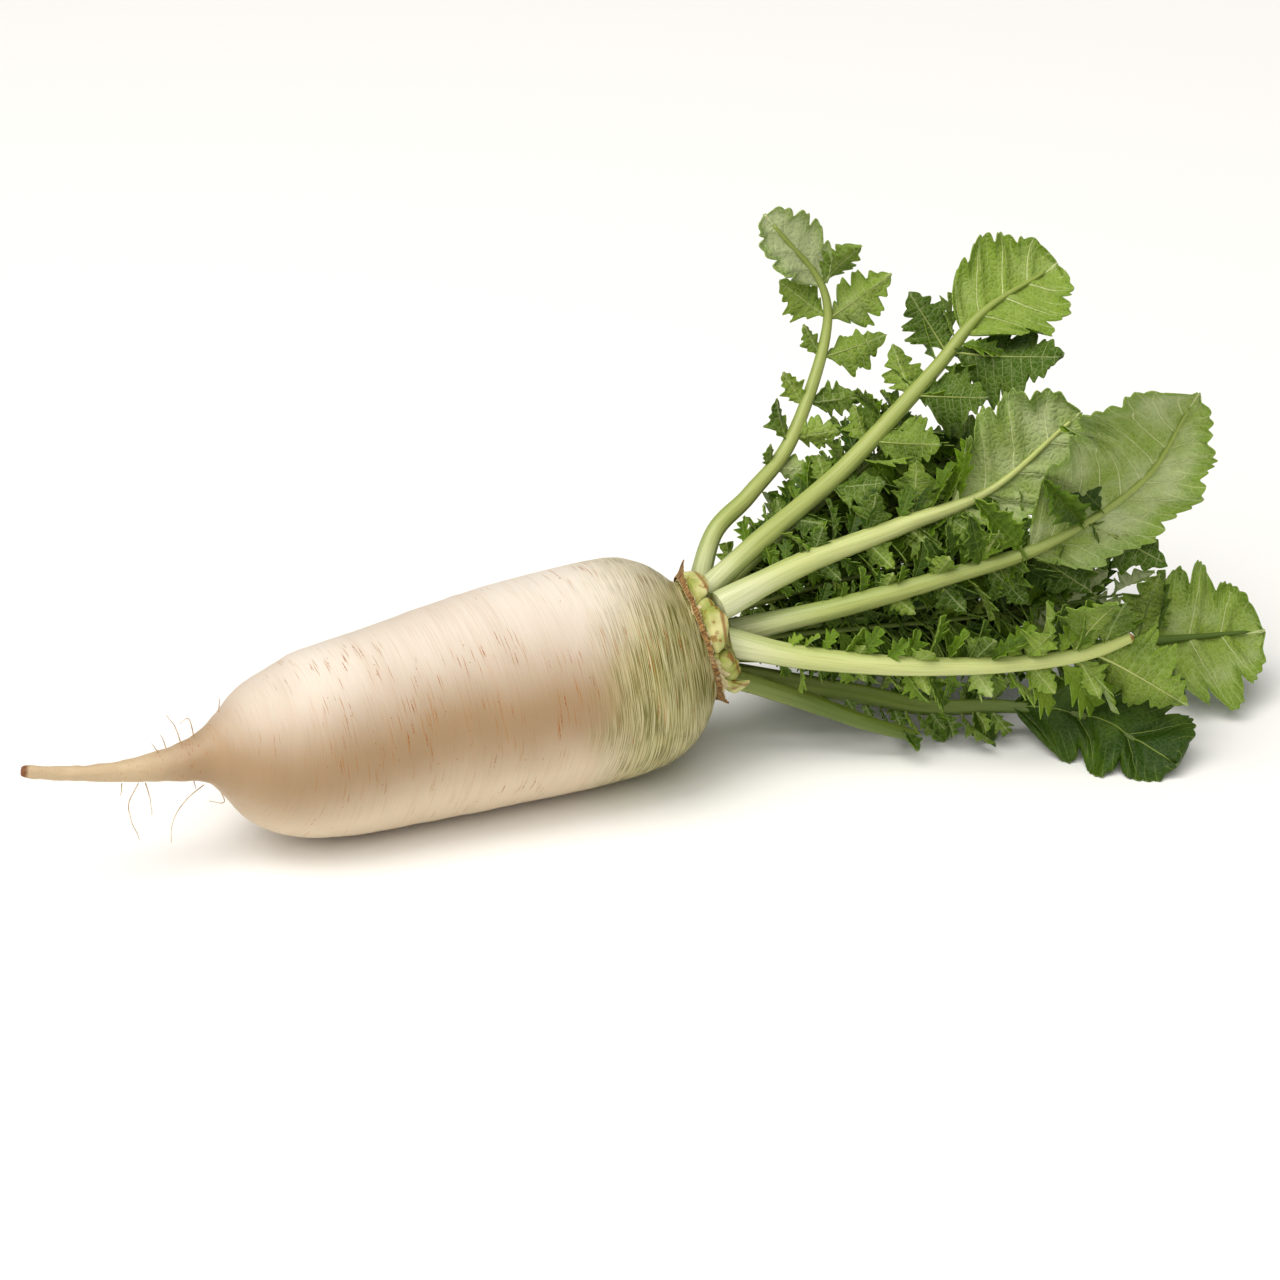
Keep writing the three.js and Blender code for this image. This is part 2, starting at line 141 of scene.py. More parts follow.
# %% The light
WORLD_STRENGTH = 0.25
LAMPS = [
    ("SUN", "wide_sky_light", (-0.4, -0.25, 1.0), 1.3, 2.5, "#fffcf7"),
    ("AREA", "key_from_above", (-0.45, -0.05, 1.2), 0.7, 5.0, "#fffaf2"),
    ("AREA", "low_front_fill", (-1.336, -5.2, 1.237), 3.6, 20.8, "#fff4e6"),
]
for kind, name, place, size, strength, colour in LAMPS:
    lamp_data = bpy.data.lights.new(name, kind)
    if kind == "SUN":
        lamp_data.angle = size
    else:
        lamp_data.size = size
    lamp_data.energy = strength
    lamp_data.color = linear(colour)[:3]
    lamp = bpy.data.objects.new(name, lamp_data)
    lamp.location = place
    lamp.rotation_euler = (Vector(place) - CAMERA_TARGET).to_track_quat("Z", "Y").to_euler()
    bpy.context.scene.collection.objects.link(lamp)
world = bpy.data.worlds.new("studio")
world.use_nodes = True
world.node_tree.nodes["Background"].inputs["Color"].default_value = linear("#ffffff")
world.node_tree.nodes["Background"].inputs["Strength"].default_value = WORLD_STRENGTH
bpy.context.scene.world = world
bpy.context.scene.view_settings.view_transform = "Standard"
print("lamps:", len(LAMPS))

# %% [markdown]
# ## The root's form
# A root is a turned shape: one outline, spun about its axis. Its axis is then bent, because the tip curls up and
# the crown leans towards the near side, and its section is never quite round. Sculpting would give the same form,
# but an outline keeps every diameter in one list. The belly is pressed flat where it lies on the table.

# %% The root's axis and outline
ROOT_PROFILE = [
    (-206, 0), (-205, 2.3), (-190, 2.8), (-170, 4.1), (-150, 6.8), (-138, 10), (-130, 16.5), (-118, 27.5),
    (-95, 35.8), (-60, 39.6), (-25, 42.7), (8, 45.1), (31, 45), (46, 42.6), (56, 37), (62, 30.8), (66, 25.2),
    (71, 23.2), (76, 19.5), (80, 11), (81, 0),
]
ROOT_RINGS = 330
ROOT_STEPS = 180
TIP_BEND = (-140, -206)
CROWN_BEND = (5, 66)
NECK = (-140, -95)


def bend_at(x, start, end):
    """How far into a bend x is, growing with the square of the way."""
    return max(0.0, (x - start) / (end - start)) ** 2


def smooth(x, low, high):
    """0 at low, 1 at high and a soft step between."""
    t = min(max((x - low) / (high - low), 0.0), 1.0)
    return t * t * (3 - 2 * t)


def root_axis(x):
    """The middle of the root at x. All lengths of the root are in millimetres."""
    tip, crown = bend_at(x, *TIP_BEND), bend_at(x, *CROWN_BEND)
    height = 42.4 + 0.035 * x + 6 * (1 - smooth(x, *NECK)) + 9.5 * tip + 8 * crown
    return Vector((x, 6 * tip - 6 * crown, height))


def root_frame(x):
    """The root's middle at x, with the ways along it, to its far side and up."""
    along = (root_axis(x + 1) - root_axis(x - 1)).normalized()
    far = Vector((0, 0, 1)).cross(along).normalized()
    return root_axis(x), along, far, along.cross(far)


def outline_at(t):
    """The point of the outline at a share t of its way, on a smooth curve through the list."""
    place = t * (len(ROOT_PROFILE) - 1)
    index = min(int(place), len(ROOT_PROFILE) - 2)
    w = place - index
    p = [Vector(ROOT_PROFILE[min(max(index + k, 0), len(ROOT_PROFILE) - 1)]) for k in (-1, 0, 1, 2)]
    m1, m2 = (p[2] - p[0]) / 2, (p[3] - p[1]) / 2
    return (
        (2 * w**3 - 3 * w**2 + 1) * p[1] + (w**3 - 2 * w**2 + w) * m1
        + (3 * w**2 - 2 * w**3) * p[2] + (w**3 - w**2) * m2
    )


print("root outline at its middle:", [round(c, 1) for c in outline_at(0.5)])

# %% [markdown]
# ## The root's skin
# The outline is spun a full turn with its seam merged. Each ring is then carried to the bent axis. The skin of a
# pulled root is not smooth: shallow furrows run round it, it is a little wavy along its length, and its tap root
# is knobbly. These are real dents of a few tenths of a millimetre. Each point also keeps two attributes, so that
# the colours can follow the skin round the bends: its place on the straight root, and its way along the skin and
# round it. That way starts at the belly, where the skin lies on the table, and leans a little, as growth lines do.

# %% The root's skin
WIDEST = 45
SHARP_EDGE = 50


def root_dent(x, around, radius):
    """How far the skin stands out at a place, in millimetres: soft hollows, furrows round the root and knobs."""
    ring = Vector((x * 0.35, math.cos(around) * 0.7, math.sin(around) * 0.7))
    soft = Vector((x * 0.02, math.cos(around) * 1.1, math.sin(around) * 1.1 + 7))
    knob = Vector((x * 0.16, math.cos(around) * 1.3 + 3, math.sin(around) * 1.3))
    furrow = Vector((x * 0.11, math.cos(around) * 0.9, math.sin(around) * 0.9 + 13))
    size = min(radius / 40, 1)
    dent = 0.10 * noise.noise(ring) + 0.9 * size * noise.noise(soft) + 0.25 * size * noise.noise(furrow)
    return dent + 0.55 * (1 - size) * noise.noise(knob)


def face_order(face, point_count):
    """A number that each face has for itself, from the first and the last of its points."""
    numbers = [vert.index for vert in face.verts]
    return min(numbers) * point_count + max(numbers)


def finish_piece(name, shape, materials, replaced=()):
    """Makes a bmesh into a piece that rides on the root, with its materials, and hides the solids that it replaces.
    """
    mesh = bpy.data.meshes.new(name)
    for face in shape.faces:
        face.smooth = True
    shape.to_mesh(mesh)
    shape.free()
    mesh.set_sharp_from_angle(angle=math.radians(SHARP_EDGE))
    for material in materials:
        mesh.materials.append(material)
    piece = bpy.data.objects.new(name, mesh)
    bpy.context.scene.collection.objects.link(piece)
    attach(piece, "root")
    if replaced:
        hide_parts(*replaced)
    triangles = sum(len(p.vertices) - 2 for p in mesh.polygons)
    print(name, "triangles:", triangles)


shape = bmesh.new()
skin_place = shape.verts.layers.float_vector.new("skin_place")
skin_way = shape.verts.layers.float_vector.new("skin_way")
points = [outline_at(i / ROOT_RINGS) for i in range(ROOT_RINGS + 1)]
profile = [shape.verts.new((p.x, max(p.y, 0.0), 0)) for p in points]
profile[0].co.y = profile[-1].co.y = 0
edges = [shape.edges.new(pair) for pair in zip(profile, profile[1:])]
bmesh.ops.spin(
    shape, geom=profile + edges, cent=(0, 0, 0), axis=(1, 0, 0), angle=math.tau, steps=ROOT_STEPS, use_merge=True
)
bmesh.ops.remove_doubles(shape, verts=shape.verts[:], dist=0.0005)
for vert in shape.verts:
    x, side, top = vert.co
    radius, around = math.hypot(side, top), math.atan2(top, side)
    swell = 1 + 0.012 * math.sin(2 * around + 0.03 * x) + 0.009 * math.sin(3 * around - 0.05 * x + 1)
    out = radius * swell + (root_dent(x, around, radius) if radius > 1.5 else 0)
    height = math.sin(around) * radius
    vert[skin_place] = (x, -math.cos(around) * radius, height)
    lean = 0.2 * (min(height, 0) + max(height, 0) * smooth(x, 0, 60))
    vert[skin_way] = (x - lean, WIDEST * ((around + math.pi / 2) % math.tau), 0)
    middle, along, far, up = root_frame(x)
    vert.co = middle - far * out * math.cos(around) + up * out * math.sin(around)
    vert.co.z = max(vert.co.z, 0)
    vert.co *= MM
bmesh.ops.recalc_face_normals(shape, faces=shape.faces[:])
# Spin leaves its faces in an order that changes from run to run, so they are put in the order of their points.
shape.verts.index_update()
point_count = len(shape.verts)
shape.faces.sort(key=lambda face: face_order(face, point_count))
root_shape = shape
print("root points:", point_count)

# %% [markdown]
# ## The root's finish
# The skin of a daikon is a thin, slightly glossy living skin over wet flesh: cream white above, tan along its side,
# waxy rather than lacquered, and light goes a little way into it. Its colour is partly its own and partly painted
# light and shade: the top is painted a lit cream, a band of painted shade along the side is tan, and the belly is
# painted lighter for the light that the table throws back up. Fine growth lines run round it. All patterns
# use the way along the skin and round it in millimetres: a line round the root is a noise whose coordinates are
# squeezed in that direction. The real lines are about a tenth of a millimetre wide, too fine to show, so they are
# drawn 0.4 mm wide and 40 mm long, and broader bands 5 mm wide. Clouds 30 to 50 mm across move the edge of the
# painted shade up and down.

# %% The root's finish
root_skin, tree, shader = new_material(
    "living_radish_skin", Roughness=0.46, IOR=1.4, Subsurface_Weight=0.1, Subsurface_Scale=0.005
)
shader.inputs["Subsurface Radius"].default_value = (1.0, 0.55, 0.3)
place = add_node(tree, "ShaderNodeAttribute", attribute_name="skin_place").outputs["Vector"]
along, _, height = add_node(tree, "ShaderNodeSeparateXYZ", {0: place}).outputs
way = add_node(tree, "ShaderNodeAttribute", attribute_name="skin_way").outputs["Vector"]
# Clouds 30 to 50 mm across that move the edge of the painted shade up and down.
shade_edge_cloud = add_node(tree, "ShaderNodeTexNoise", {
    "Vector": add_node(tree, "ShaderNodeMapping", {"Vector": place, "Scale": (0.03, 0.02, 0.02)}).outputs[0],
    "Scale": 1.0, "Detail": 3.0,
}).outputs[0]
hairline = add_node(tree, "ShaderNodeTexNoise", {
    "Vector": add_node(tree, "ShaderNodeMapping", {
        "Vector": way, "Scale": (2.6, 0.026, 0.026), "Location": (40, 0, 0),
    }).outputs[0],
    "Scale": 1.0, "Detail": 3.0,
}).outputs[0]
broad_line = add_node(tree, "ShaderNodeTexNoise", {
    "Vector": add_node(tree, "ShaderNodeMapping", {
        "Vector": way, "Scale": (0.22, 0.012, 0.012), "Location": (70, 0, 0),
    }).outputs[0],
    "Scale": 1.0, "Detail": 2.0,
}).outputs[0]
# The height that the painted light and shade follow: raised by up to 13 mm towards the tip, so the painted shade sits
# lower there, and moved up and down by 7 mm by the clouds.
lit_height = add_node(tree, "ShaderNodeMath", {
    0: height,
    1: add_node(tree, "ShaderNodeMapRange", {0: along, 1: -150, 2: -50, 3: 13, 4: 0}, **SOFT_STEP).outputs[0],
}, operation="ADD").outputs[0]
lit_height = add_node(tree, "ShaderNodeMath", {
    0: add_node(tree, "ShaderNodeMath", {0: shade_edge_cloud, 1: 0.5}, operation="SUBTRACT").outputs[0], 1: 14.0,
    2: lit_height,
}, operation="MULTIPLY_ADD").outputs[0]
# Painted light and shade: tan below 13 mm above the axis, turning to the lit cream of the top by 54 mm.
skin = add_node(tree, "ShaderNodeMix", {
    0: add_node(tree, "ShaderNodeMapRange", {0: lit_height, 1: 13, 2: 54}, **SOFT_STEP).outputs[0],
    6: linear("#a68a68"), 7: linear("#efe6da"),
}, **COLOUR_MIX).outputs[2]
# Painted light from the table: the belly turns lighter again below 10 mm, fully at -20 mm.
skin = add_node(tree, "ShaderNodeMix", {
    0: add_node(tree, "ShaderNodeMapRange", {0: lit_height, 1: -20, 2: 10, 3: 1.0, 4: 0.0}, **SOFT_STEP).outputs[0],
    6: skin, 7: linear("#d9c8ad"),
}, **COLOUR_MIX).outputs[2]
skin = add_node(tree, "ShaderNodeMix", {
    0: add_node(tree, "ShaderNodeMapRange", {0: broad_line, 1: 0.5, 2: 0.7, 4: 0.1}, **SOFT_STEP).outputs[0],
    6: skin, 7: linear("#c0946a"),
}, **COLOUR_MIX).outputs[2]
skin = add_node(tree, "ShaderNodeMix", {
    0: add_node(tree, "ShaderNodeMapRange", {0: hairline, 1: 0.52, 2: 0.7, 4: 0.17}, **SOFT_STEP).outputs[0],
    6: skin, 7: linear("#a97c4e"),
}, **COLOUR_MIX).outputs[2]
skin = add_node(tree, "ShaderNodeMix", {
    0: add_node(tree, "ShaderNodeMapRange", {0: along, 1: -170, 2: -140, 3: 0.6, 4: 0.0}, **SOFT_STEP).outputs[0],
    6: skin, 7: linear("#dbc6a2"),
}, **COLOUR_MIX).outputs[2]
print("root finish: base colours made")

# %% [markdown]
# The shoulder grew in the light and turned green. The green starts near the root's widest place and is full at
# the crown. Its edge is not a line: olive streaks round the root break it up, half a millimetre wide and 20 mm
# long, which is twice as coarse as real ones. Clouds of it 20 mm across reach further in some places, patches
# 10 mm across have more streaks than others, and the top stays paler.

# %% The green shoulder
streak = add_node(tree, "ShaderNodeTexNoise", {
    "Vector": add_node(tree, "ShaderNodeMapping", {"Vector": way, "Scale": (2.2, 0.05, 0.05)}).outputs[0],
    "Scale": 1.0, "Detail": 5.0,
}).outputs[0]
cloud = add_node(tree, "ShaderNodeTexNoise", {
    "Vector": add_node(tree, "ShaderNodeMapping", {
        "Vector": place, "Scale": (0.05, 0.04, 0.04), "Location": (9, 0, 0),
    }).outputs[0],
    "Scale": 1.0, "Detail": 3.0,
}).outputs[0]
reach = add_node(tree, "ShaderNodeMath", {0: cloud, 1: 34.0, 2: along}, operation="MULTIPLY_ADD").outputs[0]
reach = add_node(tree, "ShaderNodeMath", {
    0: add_node(tree, "ShaderNodeMath", {0: height, 1: 0.0}, operation="MAXIMUM").outputs[0], 1: -0.35, 2: reach,
}, operation="MULTIPLY_ADD").outputs[0]
shoulder = add_node(tree, "ShaderNodeMapRange", {0: reach, 1: 14, 2: 54}, **SOFT_STEP).outputs[0]
lower = add_node(tree, "ShaderNodeMapRange", {0: height, 1: 47, 2: 20, 3: 0.35}, **SOFT_STEP).outputs[0]
flesh_green = add_node(tree, "ShaderNodeMix", {
    0: add_node(tree, "ShaderNodeMapRange", {0: streak, 1: 0.4, 2: 0.6}, **SOFT_STEP).outputs[0],
    6: linear("#c0b888"), 7: linear("#8f8840"),
}, **COLOUR_MIX).outputs[2]
skin = add_node(tree, "ShaderNodeMix", {
    0: add_node(tree, "ShaderNodeMath", {0: shoulder, 1: lower}, operation="MULTIPLY").outputs[0], 6: skin,
    7: flesh_green,
}, **COLOUR_MIX).outputs[2]
patch = add_node(tree, "ShaderNodeMapRange", {
    0: add_node(tree, "ShaderNodeTexNoise", {
        "Vector": add_node(tree, "ShaderNodeMapping", {
            "Vector": place, "Scale": (0.11, 0.09, 0.09), "Location": (21, 0, 0),
        }).outputs[0],
        "Scale": 1.0, "Detail": 3.0,
    }).outputs[0],
    1: 0.38, 2: 0.56, 3: 0.25,
}, **SOFT_STEP).outputs[0]
olive = add_node(tree, "ShaderNodeMapRange", {0: streak, 1: 0.47, 2: 0.56}, **SOFT_STEP).outputs[0]
for share in (shoulder, lower, patch, 0.85):
    olive = add_node(tree, "ShaderNodeMath", {0: olive, 1: share}, operation="MULTIPLY").outputs[0]
skin = add_node(tree, "ShaderNodeMix", {0: olive, 6: skin, 7: linear("#5f5a1c")}, **COLOUR_MIX).outputs[2]
pale_line = add_node(tree, "ShaderNodeMath", {
    0: add_node(tree, "ShaderNodeMapRange", {0: hairline, 1: 0.44, 2: 0.36}, **SOFT_STEP).outputs[0], 1: shoulder,
}, operation="MULTIPLY").outputs[0]
skin = add_node(tree, "ShaderNodeMix", {
    0: add_node(tree, "ShaderNodeMath", {0: pale_line, 1: 0.4}, operation="MULTIPLY").outputs[0], 6: skin,
    7: linear("#e2dcb8"),
}, **COLOUR_MIX).outputs[2]
print("the shoulder turns green between x = 14 and 54 mm, less the clouds")

# %% [markdown]
# Corky brown dashes mark where side roots broke through. A dash is about a third of a millimetre wide and three to
# ten long. A flat Voronoi cell's distance, in squeezed coordinates, gives a long thin spot in each cell of 1.4 by
# 25 mm, and cells of 0.8 by 25 mm give finer dashes. The cell's own random colour says whether it is drawn, and
# soft clouds make crowds of dashes in some places and few in others. A fine noise bites their edges, because cork
# breaks up as it dries. Round dots, half a millimetre across, come from an evenly scaled Voronoi with cells of 7 mm.

# %% Corky dashes and dots
rough = add_node(tree, "ShaderNodeTexNoise", {"Vector": way, "Scale": 0.35, "Detail": 3.0}).outputs["Color"]
ragged = add_node(
    tree, "ShaderNodeVectorMath", {0: rough, 1: (0.7, 3.0, 0.0), 2: way}, operation="MULTIPLY_ADD"
).outputs[0]
cluster = add_node(tree, "ShaderNodeTexNoise", {
    "Vector": add_node(tree, "ShaderNodeMapping", {
        "Vector": place, "Scale": (0.03, 0.03, 0.03), "Location": (3, 0, 0),
    }).outputs[0],
    "Scale": 1.0, "Detail": 1.0,
}).outputs[0]


def marks(tree, vector, per_along, per_around, shift, inner, outer, least, most):
    """Spots in some cells of a squeezed flat Voronoi: how far they reach, and the random number they start from."""
    spot_place = add_node(tree, "ShaderNodeMapping", {
        "Vector": vector, "Scale": (per_along, per_around, per_around), "Location": (shift, 0, 0),
    }).outputs[0]
    cell = add_node(tree, "ShaderNodeTexVoronoi", {"Vector": spot_place, "Scale": 1.0}, voronoi_dimensions="2D")
    pick = add_node(tree, "ShaderNodeSeparateColor", {0: cell.outputs["Color"]}).outputs[0]
    chosen = add_node(tree, "ShaderNodeMapRange", {
        0: add_node(tree, "ShaderNodeMath", {0: cluster, 1: 1.3, 2: pick}, operation="MULTIPLY_ADD").outputs[0],
        1: least, 2: most,
    }, **SOFT_STEP).outputs[0]
    return add_node(tree, "ShaderNodeMath", {
        0: add_node(tree, "ShaderNodeMapRange", {
            0: cell.outputs["Distance"], 1: inner, 2: outer, 3: 1.0, 4: 0.0,
        }, **SOFT_STEP).outputs[0],
        1: chosen,
    }, operation="MULTIPLY").outputs[0]


bitten = add_node(tree, "ShaderNodeMapRange", {
    0: add_node(tree, "ShaderNodeTexNoise", {"Vector": way, "Scale": 0.9, "Detail": 2.0}).outputs[0], 1: 0.36,
    2: 0.5,
}, **SOFT_STEP).outputs[0]
crowd = add_node(tree, "ShaderNodeMapRange", {
    0: add_node(tree, "ShaderNodeTexNoise", {
        "Vector": add_node(tree, "ShaderNodeMapping", {
            "Vector": place, "Scale": (0.045, 0.035, 0.035), "Location": (33, 0, 0),
        }).outputs[0],
        "Scale": 1.0, "Detail": 3.0,
    }).outputs[0],
    1: 0.42, 2: 0.6, 3: 0.15,
}, **SOFT_STEP).outputs[0]
dash = add_node(tree, "ShaderNodeMath", {
    0: marks(tree, ragged, 0.7, 0.04, 0, 0.06, 0.2, 1.44, 1.48), 1: bitten,
}, operation="MULTIPLY").outputs[0]
fine_dash = marks(tree, ragged, 1.2, 0.04, 5, 0.08, 0.3, 1.36, 1.48)
dot = marks(tree, way, 0.14, 0.14, 8, 0.03, 0.06, 1.5, 1.55)
skin = add_node(tree, "ShaderNodeMix", {
    0: add_node(tree, "ShaderNodeMath", {
        0: fine_dash, 1: add_node(tree, "ShaderNodeMath", {0: crowd, 1: 0.7}, operation="MULTIPLY").outputs[0],
    }, operation="MULTIPLY").outputs[0],
    6: skin, 7: linear("#a8681a"),
}, **COLOUR_MIX).outputs[2]
skin = add_node(tree, "ShaderNodeMix", {
    0: add_node(tree, "ShaderNodeMath", {0: dot, 1: 0.6}, operation="MULTIPLY").outputs[0], 6: skin,
    7: linear("#94622f"),
}, **COLOUR_MIX).outputs[2]
skin = add_node(tree, "ShaderNodeMix", {
    0: add_node(tree, "ShaderNodeMath", {0: dash, 1: crowd}, operation="MULTIPLY").outputs[0], 6: skin,
    7: linear("#9c5406"),
}, **COLOUR_MIX).outputs[2]
print("dashes and dots drawn")

# %% [markdown]
# The broken end of the tap root is a dry brown dot, and the crown between the leaves is a green bud, clouded with
# brown in patches of 2 mm. Cells under the waxy skin lift the lines a little and the dashes sink in, so the lines
# also go into a weak bump.

# %% The root's two ends and its relief
skin = add_node(tree, "ShaderNodeMix", {
    0: add_node(tree, "ShaderNodeMapRange", {
        0: along, 1: -205.4, 2: -203.6, 3: 1.0, 4: 0.0,
    }, **SOFT_STEP).outputs[0],
    6: skin, 7: linear("#7a4c27"),
}, **COLOUR_MIX).outputs[2]
bud_cloud = add_node(tree, "ShaderNodeMapRange", {
    0: add_node(tree, "ShaderNodeTexNoise", {"Vector": place, "Scale": 0.5, "Detail": 4.0}).outputs[0], 1: 0.4,
    2: 0.6,
}, **SOFT_STEP).outputs[0]
bud = add_node(tree, "ShaderNodeMix", {
    0: bud_cloud, 6: linear("#8f9148"), 7: linear("#5f4a22"),
}, **COLOUR_MIX).outputs[2]
skin = add_node(tree, "ShaderNodeMix", {
    0: add_node(tree, "ShaderNodeMapRange", {0: along, 1: 66.5, 2: 68}, **SOFT_STEP).outputs[0], 6: skin, 7: bud,
}, **COLOUR_MIX).outputs[2]
tree.links.new(skin, shader.inputs["Base Color"])
relief = add_node(tree, "ShaderNodeMath", {0: streak, 1: 0.5, 2: hairline}, operation="MULTIPLY_ADD").outputs[0]
relief = add_node(tree, "ShaderNodeMath", {0: dash, 1: -0.5, 2: relief}, operation="MULTIPLY_ADD").outputs[0]
bump = add_node(tree, "ShaderNodeBump", {"Height": relief, "Strength": 0.22, "Distance": 0.0006})
tree.links.new(bump.outputs[0], shader.inputs["Normal"])
finish_piece("root_skin", root_shape, [root_skin], ["root"])

# %% [markdown]
# ## The ribs of the leaves
# Each leaf has one thick stalk that thins into its midrib. A few points give its line, and a smooth curve runs
# through them. A Bezier curve object with a bevel would make a round tube, but a radish stalk is flatter and
# grooved on its upper side, so the section is shaped point by point. The list gives each leaf's points, the way its
# upper side faces, half its width at its foot and end, and how it tapers between them. Then come:
# - blade: where the broad end blade starts, its right and left half widths, its lobes and how deep they are cut,
#   and how its sides bend up and sweep forward
# - leaflets: for each pair its place, its right and left length and, where they differ, its lean and breadth
# - fill: how many small feathery leaflets stand on each side, and their size against the pairs round them
# - last: where these stop, if not with the last pair
# - tone: how light the green of the blade and of the leaflets is

# %% The list of leaves
LEAVES = [
    dict(
        name="far_top", rib=[(74, 7, 68), (85, 14, 88), (104, 20, 99), (127, 30, 114), (151, 48, 145),
                             (154, 56, 168), (134, 60, 195)],
        face=(0.3, 0.9, -0.3), foot=4.4, end=0.8, taper=1.6, blade=(0.83, 13, 16, 4, 0.25, -0.3, 0.5),
        leaflets=[(0.42, 11, 18, 58, 0.34), (0.5, 20, 22, 58, 0.33), (0.57, 18, 25, 58, 0.32),
                  (0.65, 15, 29, 58, 0.32), (0.74, 26, 32, 58, 0.38), (0.84, 0, 24, 50, 0.42)],
        fill=(0, 0), tone=(0.98, 0.38),
    ),
    dict(
        name="top", rib=[(73, -3, 72), (98, -2, 89), (140, 8, 108), (184, 16, 139), (208, 18, 161), (236, 19, 173)],
        face=(0.5, 0.6, -0.6), foot=5, end=0.8, taper=2, blade=(0.72, 27, 28, 4, 0.2, -0.3, 0.5),
        leaflets=[(0.27, 10, 16), (0.36, 13, 25), (0.45, 18, 33), (0.55, 23, 34), (0.66, 30, 48, 60, 0.42)],
        fill=(9, 0.7), tone=(0.5, 0.2),
    ),
    dict(
        name="upper", rib=[(72.4, -15.5, 70.5), (112, -13, 80.5), (153, -18, 91), (189, -26, 103), (219, -34, 130)],
        face=(0.5, 0.7, -0.2), foot=6.2, end=0.8, taper=1.4, blade=(0.64, 30, 24, 4, 0.18, -0.2, 0.5),
        leaflets=[(0.28, 15, 13), (0.4, 20, 17), (0.52, 25, 21), (0.62, 0, 26)],
        fill=(13, 0.8), tone=(0.78, 0.15),
    ),
    dict(
        name="broad", rib=[(79, -7, 53), (126, -26, 65), (165, -38, 75), (203, -50, 87), (238, -61, 112),
                           (252, -68, 142)],
        face=(0.3, 0.9, 0.1), foot=5.4, end=0.8, taper=1.4, blade=(0.56, 56, 24, 5, 0.14, -0.3, 0.3),
        leaflets=[(0.27, 12, 13), (0.37, 17, 18), (0.47, 21, 24), (0.56, 0, 33), (0.68, 0, 38)],
        fill=(12, 0.85), tone=(0.74, 0.18), last=0.54,
    ),
    dict(
        name="front", rib=[(72, -17, 56.5), (102, -30, 48.5), (138, -48, 45), (174, -64, 45), (204, -77, 49),
                           (222, -84, 56)],
        face=(0.2, 0.9, 0.1), foot=6.4, end=2.4, taper=0.8, blade=None,
        leaflets=[(0.3, 10, 9), (0.42, 15, 13), (0.54, 18, 15), (0.66, 22, 17), (0.78, 34, 20), (0.88, 26, 0),
                  (0.84, 0, 46, 38, 0.42)],
        fill=(16, 1.1), tone=(0.7, 0.42),
    ),
    dict(
        name="short", rib=[(72, -12, 41), (107, -25, 26), (128, -37, 17), (147, -45, 10)],
        face=(0, 0.3, 1), foot=5.6, end=3, taper=1.2, blade=None, leaflets=[(0.93, 12, 9)], fill=(0, 0),
        tone=(0.1, 0.1),
    ),
    dict(
        name="table", rib=[(73, 3, 34), (131, -20, 21), (160, -33, 14), (192, -48, 14), (216, -74, 15),
                           (231, -99, 7)],
        face=(-0.25, -0.6, 0.75), foot=5, end=0.8, taper=1.6, blade=(0.6, 24, 36, 3, 0.42, -0.1, 0.6),
        leaflets=[(0.3, 10, 10), (0.4, 16, 12), (0.5, 18, 14)], fill=(12, 0.9), tone=(0.0, 0.1),
    ),
    dict(
        name="end", rib=[(79, -1, 43), (157, -15, 31), (215, -30, 26), (270, -42, 25.5), (303, -50, 25.5)],
        face=(0.3, 0.6, -0.75), foot=5, end=0.8, taper=1.6, blade=(0.7, 33, 38, 3, 0.32, -0.2, 0.1),
        leaflets=[(0.36, 13, 11), (0.46, 18, 14), (0.57, 22, 16), (0.68, 30, 22)],
        fill=(15, 0.85), tone=(0.6, 0.25),
    ),
    dict(
        name="heart_high", rib=[(80, 2, 60), (130, 10, 76), (172, 12, 90), (205, 12, 108)],
        face=(0, 0.6, -0.8), foot=4.4, end=0.8, taper=1.6, blade=(0.78, 18, 18, 3, 0.4, 0.3, 0.7),
        leaflets=[(0.25, 16, 16), (0.38, 24, 24), (0.51, 32, 32), (0.66, 36, 36)],
        fill=(36, 0.75), tone=(0.2, 0.18),
    ),
    dict(
        name="heart_low", rib=[(80, 2, 51), (140, 0, 49), (190, -8, 47), (240, -18, 53)],
        face=(0, 0.8, 0.2), foot=4, end=0.8, taper=1.6, blade=(0.72, 26, 26, 3, 0.4, 0.3, 0.7),
        leaflets=[(0.25, 14, 14), (0.38, 22, 22), (0.51, 30, 30), (0.66, 34, 34)],
        fill=(38, 0.8), tone=(0.15, 0.12),
    ),
    dict(
        name="back", rib=[(74, 11, 55), (125, 36, 60), (165, 46, 66), (205, 50, 74)],
        face=(0, -1, 0.4), foot=4.6, end=0.8, taper=1.6, blade=(0.78, 20, 20, 3, 0.4, 0.3, 0.7),
        leaflets=[(0.26, 18, 18), (0.4, 26, 26), (0.54, 32, 32), (0.7, 36, 36)],
        fill=(30, 0.8), tone=(0.25, 0.25),
    ),
    dict(
        name="back_low", rib=[(74, 10, 42), (125, 26, 29), (168, 28, 23), (212, 24, 20)],
        face=(0, -0.3, 1), foot=4.6, end=0.8, taper=1.6, blade=(0.78, 20, 20, 3, 0.4, 0.3, 0.7),
        leaflets=[(0.26, 16, 16), (0.4, 24, 24), (0.54, 28, 28), (0.7, 30, 30)],
        fill=(30, 0.8), tone=(0.15, 0.15),
    ),
]
print("leaves:", len(LEAVES))

# %% Where a rib runs
RIB_STEPS = 200


